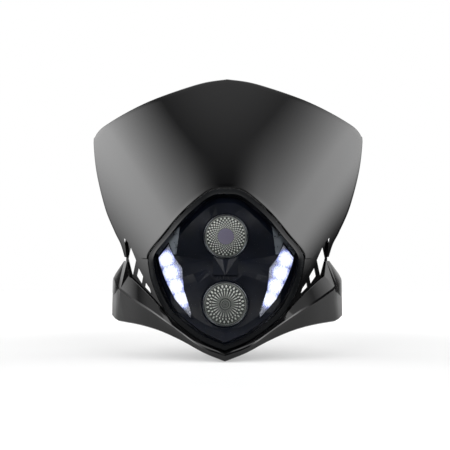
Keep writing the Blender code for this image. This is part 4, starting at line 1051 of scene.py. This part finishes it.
def paint_world():
    """Studio round the mask: a white backdrop behind it, tall diffuser panels at both sides that
    fade upwards, a dim ceiling and a dark front."""
    world = bpy.data.worlds.new("studio")
    bpy.context.scene.world = world
    world.use_nodes = True
    tree = world.node_tree
    tree.nodes.clear()
    place = add_node(tree, "TexCoord").outputs["Generated"]
    x, y, z = add_node(tree, "SeparateXYZ", place).outputs
    panels = 0.0
    for panel in (LEFT_PANEL, RIGHT_PANEL):
        aside = add_node(tree, "MapRange", x, *panel["aside"], interpolation_type='SMOOTHSTEP')
        foot = add_node(tree, "MapRange", z, *panel["foot"], interpolation_type='SMOOTHSTEP')
        top = add_node(tree, "MapRange", z, *panel["top"])
        lit = add_node(tree, "Math", foot, top, operation='MULTIPLY')
        lit = add_node(tree, "Math", aside, lit, operation='MULTIPLY')
        lit = add_node(tree, "Math", lit, panel["strength"], operation='MULTIPLY')
        panels = add_node(tree, "Math", lit, panels, operation='ADD')
    beside = add_node(tree, "MapRange", y, *PANEL_BEHIND, interpolation_type='SMOOTHSTEP')
    panels = add_node(tree, "Math", panels, beside, operation='MULTIPLY')
    ceiling = add_node(tree, "MapRange", z, *CEILING, *CEILING_STRENGTHS,
                       interpolation_type='SMOOTHSTEP')
    room = add_node(tree, "Math", panels, ceiling, operation='ADD')
    backdrop = add_node(tree, "MapRange", y, *BACKDROP, interpolation_type='SMOOTHSTEP')
    ray = add_node(tree, "LightPath").outputs
    seen = add_node(tree, "Math", ray["Is Glossy Ray"], ray["Is Transmission Ray"],
                    operation='MAXIMUM')
    seen = add_node(tree, "Math", seen, backdrop, operation='MULTIPLY')
    seen = add_node(tree, "Math", seen, ray["Is Camera Ray"], operation='MAXIMUM')
    unseen = add_node(tree, "Math", 1.0, seen, operation='SUBTRACT')
    room = add_node(tree, "Math", room, unseen, operation='MULTIPLY')
    strength = add_node(tree, "Math", room, seen, operation='ADD')
    light = add_node(tree, "Background", Color=(1.0, 1.0, 1.0, 1.0), Strength=strength)
    add_node(tree, "OutputWorld", Surface=light)


def make_floor(colour):
    """Floor just under the mask."""
    half_width = 3.0
    below = Matrix.Translation((0.0, 0.0, CAD_BOX[0].z - FLOOR_GAP))
    bm = bmesh.new()
    bmesh.ops.create_grid(bm, x_segments=1, y_segments=1, size=half_width, matrix=below)
    mesh = bpy.data.meshes.new("floor")
    bm.to_mesh(mesh)
    bm.free()
    mesh.materials.append(paint_floor(colour))
    floor = bpy.data.objects.new("floor", mesh)
    bpy.context.scene.collection.objects.link(floor)


def make_camera():
    """Camera at the photograph's angle."""
    data = bpy.data.cameras.new("camera")
    data.sensor_width = 36.0
    data.lens = data.sensor_width * FOCAL_LENGTH / IMAGE_WIDTH
    data.shift_x = SHIFT_RIGHT / IMAGE_WIDTH
    data.shift_y = SHIFT_UP / IMAGE_WIDTH
    camera = bpy.data.objects.new("camera", data)
    camera.location = (CAMERA_DISTANCE * math.sin(CAMERA_TURN),
                       -CAMERA_DISTANCE * math.cos(CAMERA_TURN), 0.0)
    camera.rotation_euler = (math.radians(90), 0.0, CAMERA_TURN)
    bpy.context.scene.collection.objects.link(camera)
    bpy.context.scene.camera = camera


# Operators, panel and registration


class MASK_OT_shield(bpy.types.Operator):
    """Make the shield's fine curved wall with its rolled edges, scoops, bosses and lugs"""
    bl_idname = "mask.shield"
    bl_label = "Shield"

    def execute(self, context):
        make_shield(context.scene.mask_sizes)
        return {'FINISHED'}


class MASK_OT_cowl(bpy.types.Operator):
    """Dress the cowl and the louvre panels"""
    bl_idname = "mask.cowl"
    bl_label = "Cowl and louvres"

    def execute(self, context):
        make_cowl(context.scene.mask_sizes)
        return {'FINISHED'}


class MASK_OT_lens(bpy.types.Operator):
    """Make the clear lens, its border and its seal"""
    bl_idname = "mask.lens"
    bl_label = "Lens and seal"

    def execute(self, context):
        make_lens()
        return {'FINISHED'}


class MASK_OT_bezel(bpy.types.Operator):
    """Dress the bezel and its bright plates"""
    bl_idname = "mask.bezel"
    bl_label = "Bezel"

    def execute(self, context):
        make_bezel(context.scene.mask_sizes)
        return {'FINISHED'}


class MASK_OT_housing(bpy.types.Operator):
    """Dress the lamp housing"""
    bl_idname = "mask.housing"
    bl_label = "Housing"

    def execute(self, context):
        make_housing()
        return {'FINISHED'}


class MASK_OT_lights(bpy.types.Operator):
    """Make the two round lights with their glasses, rings, bowls, bulbs and boots"""
    bl_idname = "mask.lights"
    bl_label = "Round lights"

    def execute(self, context):
        for name in GLASSES:
            make_round_light(name, context.scene.mask_sizes.flute_depth)
        return {'FINISHED'}


class MASK_OT_led_clusters(bpy.types.Operator):
    """Make the LED clusters with their lit LEDs"""
    bl_idname = "mask.led_clusters"
    bl_label = "LED clusters"

    def execute(self, context):
        make_led_clusters(context.scene.mask_light.led_strength)
        return {'FINISHED'}


class MASK_OT_fittings(bpy.types.Operator):
    """Make the screws and dress the gland and the breather"""
    bl_idname = "mask.fittings"
    bl_label = "Screws and fittings"

    def execute(self, context):
        make_fittings()
        return {'FINISHED'}


class MASK_OT_stage(bpy.types.Operator):
    """Set up the floor, the studio light and the camera"""
    bl_idname = "mask.stage"
    bl_label = "Stage"

    def execute(self, context):
        light = context.scene.mask_light
        make_floor(light.floor_colour)
        paint_world()
        make_soft_box(light.box_strength)
        make_camera()
        context.scene.view_settings.view_transform = 'Standard'
        return {'FINISHED'}


STEPS = (MASK_OT_shield, MASK_OT_cowl, MASK_OT_lens, MASK_OT_bezel, MASK_OT_housing, MASK_OT_lights,
         MASK_OT_led_clusters, MASK_OT_fittings, MASK_OT_stage)


class MASK_PT_panel(bpy.types.Panel):
    """Sizes, light and steps of the mask's finish"""
    bl_idname = "MASK_PT_panel"
    bl_label = "Headlight mask"
    bl_space_type = 'VIEW_3D'
    bl_region_type = 'UI'
    bl_category = "Mask"

    def draw(self, context):
        for group in (context.scene.mask_sizes, context.scene.mask_light):
            for key in type(group).__annotations__:
                self.layout.prop(group, key)
        for step in STEPS:
            self.layout.operator(step.bl_idname)


CLASSES = (MaskSizes, MaskLight, *STEPS, MASK_PT_panel)


def register():
    for cls in CLASSES:
        bpy.utils.register_class(cls)
    bpy.types.Scene.mask_sizes = bpy.props.PointerProperty(type=MaskSizes)
    bpy.types.Scene.mask_light = bpy.props.PointerProperty(type=MaskLight)


def unregister():
    del bpy.types.Scene.mask_light
    del bpy.types.Scene.mask_sizes
    for cls in reversed(CLASSES):
        bpy.utils.unregister_class(cls)


def main():
    """Makes every piece and the stage."""
    register()
    bpy.ops.mask.shield()
    bpy.ops.mask.cowl()
    bpy.ops.mask.lens()
    bpy.ops.mask.bezel()
    bpy.ops.mask.housing()
    bpy.ops.mask.lights()
    bpy.ops.mask.led_clusters()
    bpy.ops.mask.fittings()
    bpy.ops.mask.stage()


if __name__ == "__main__":
    main()
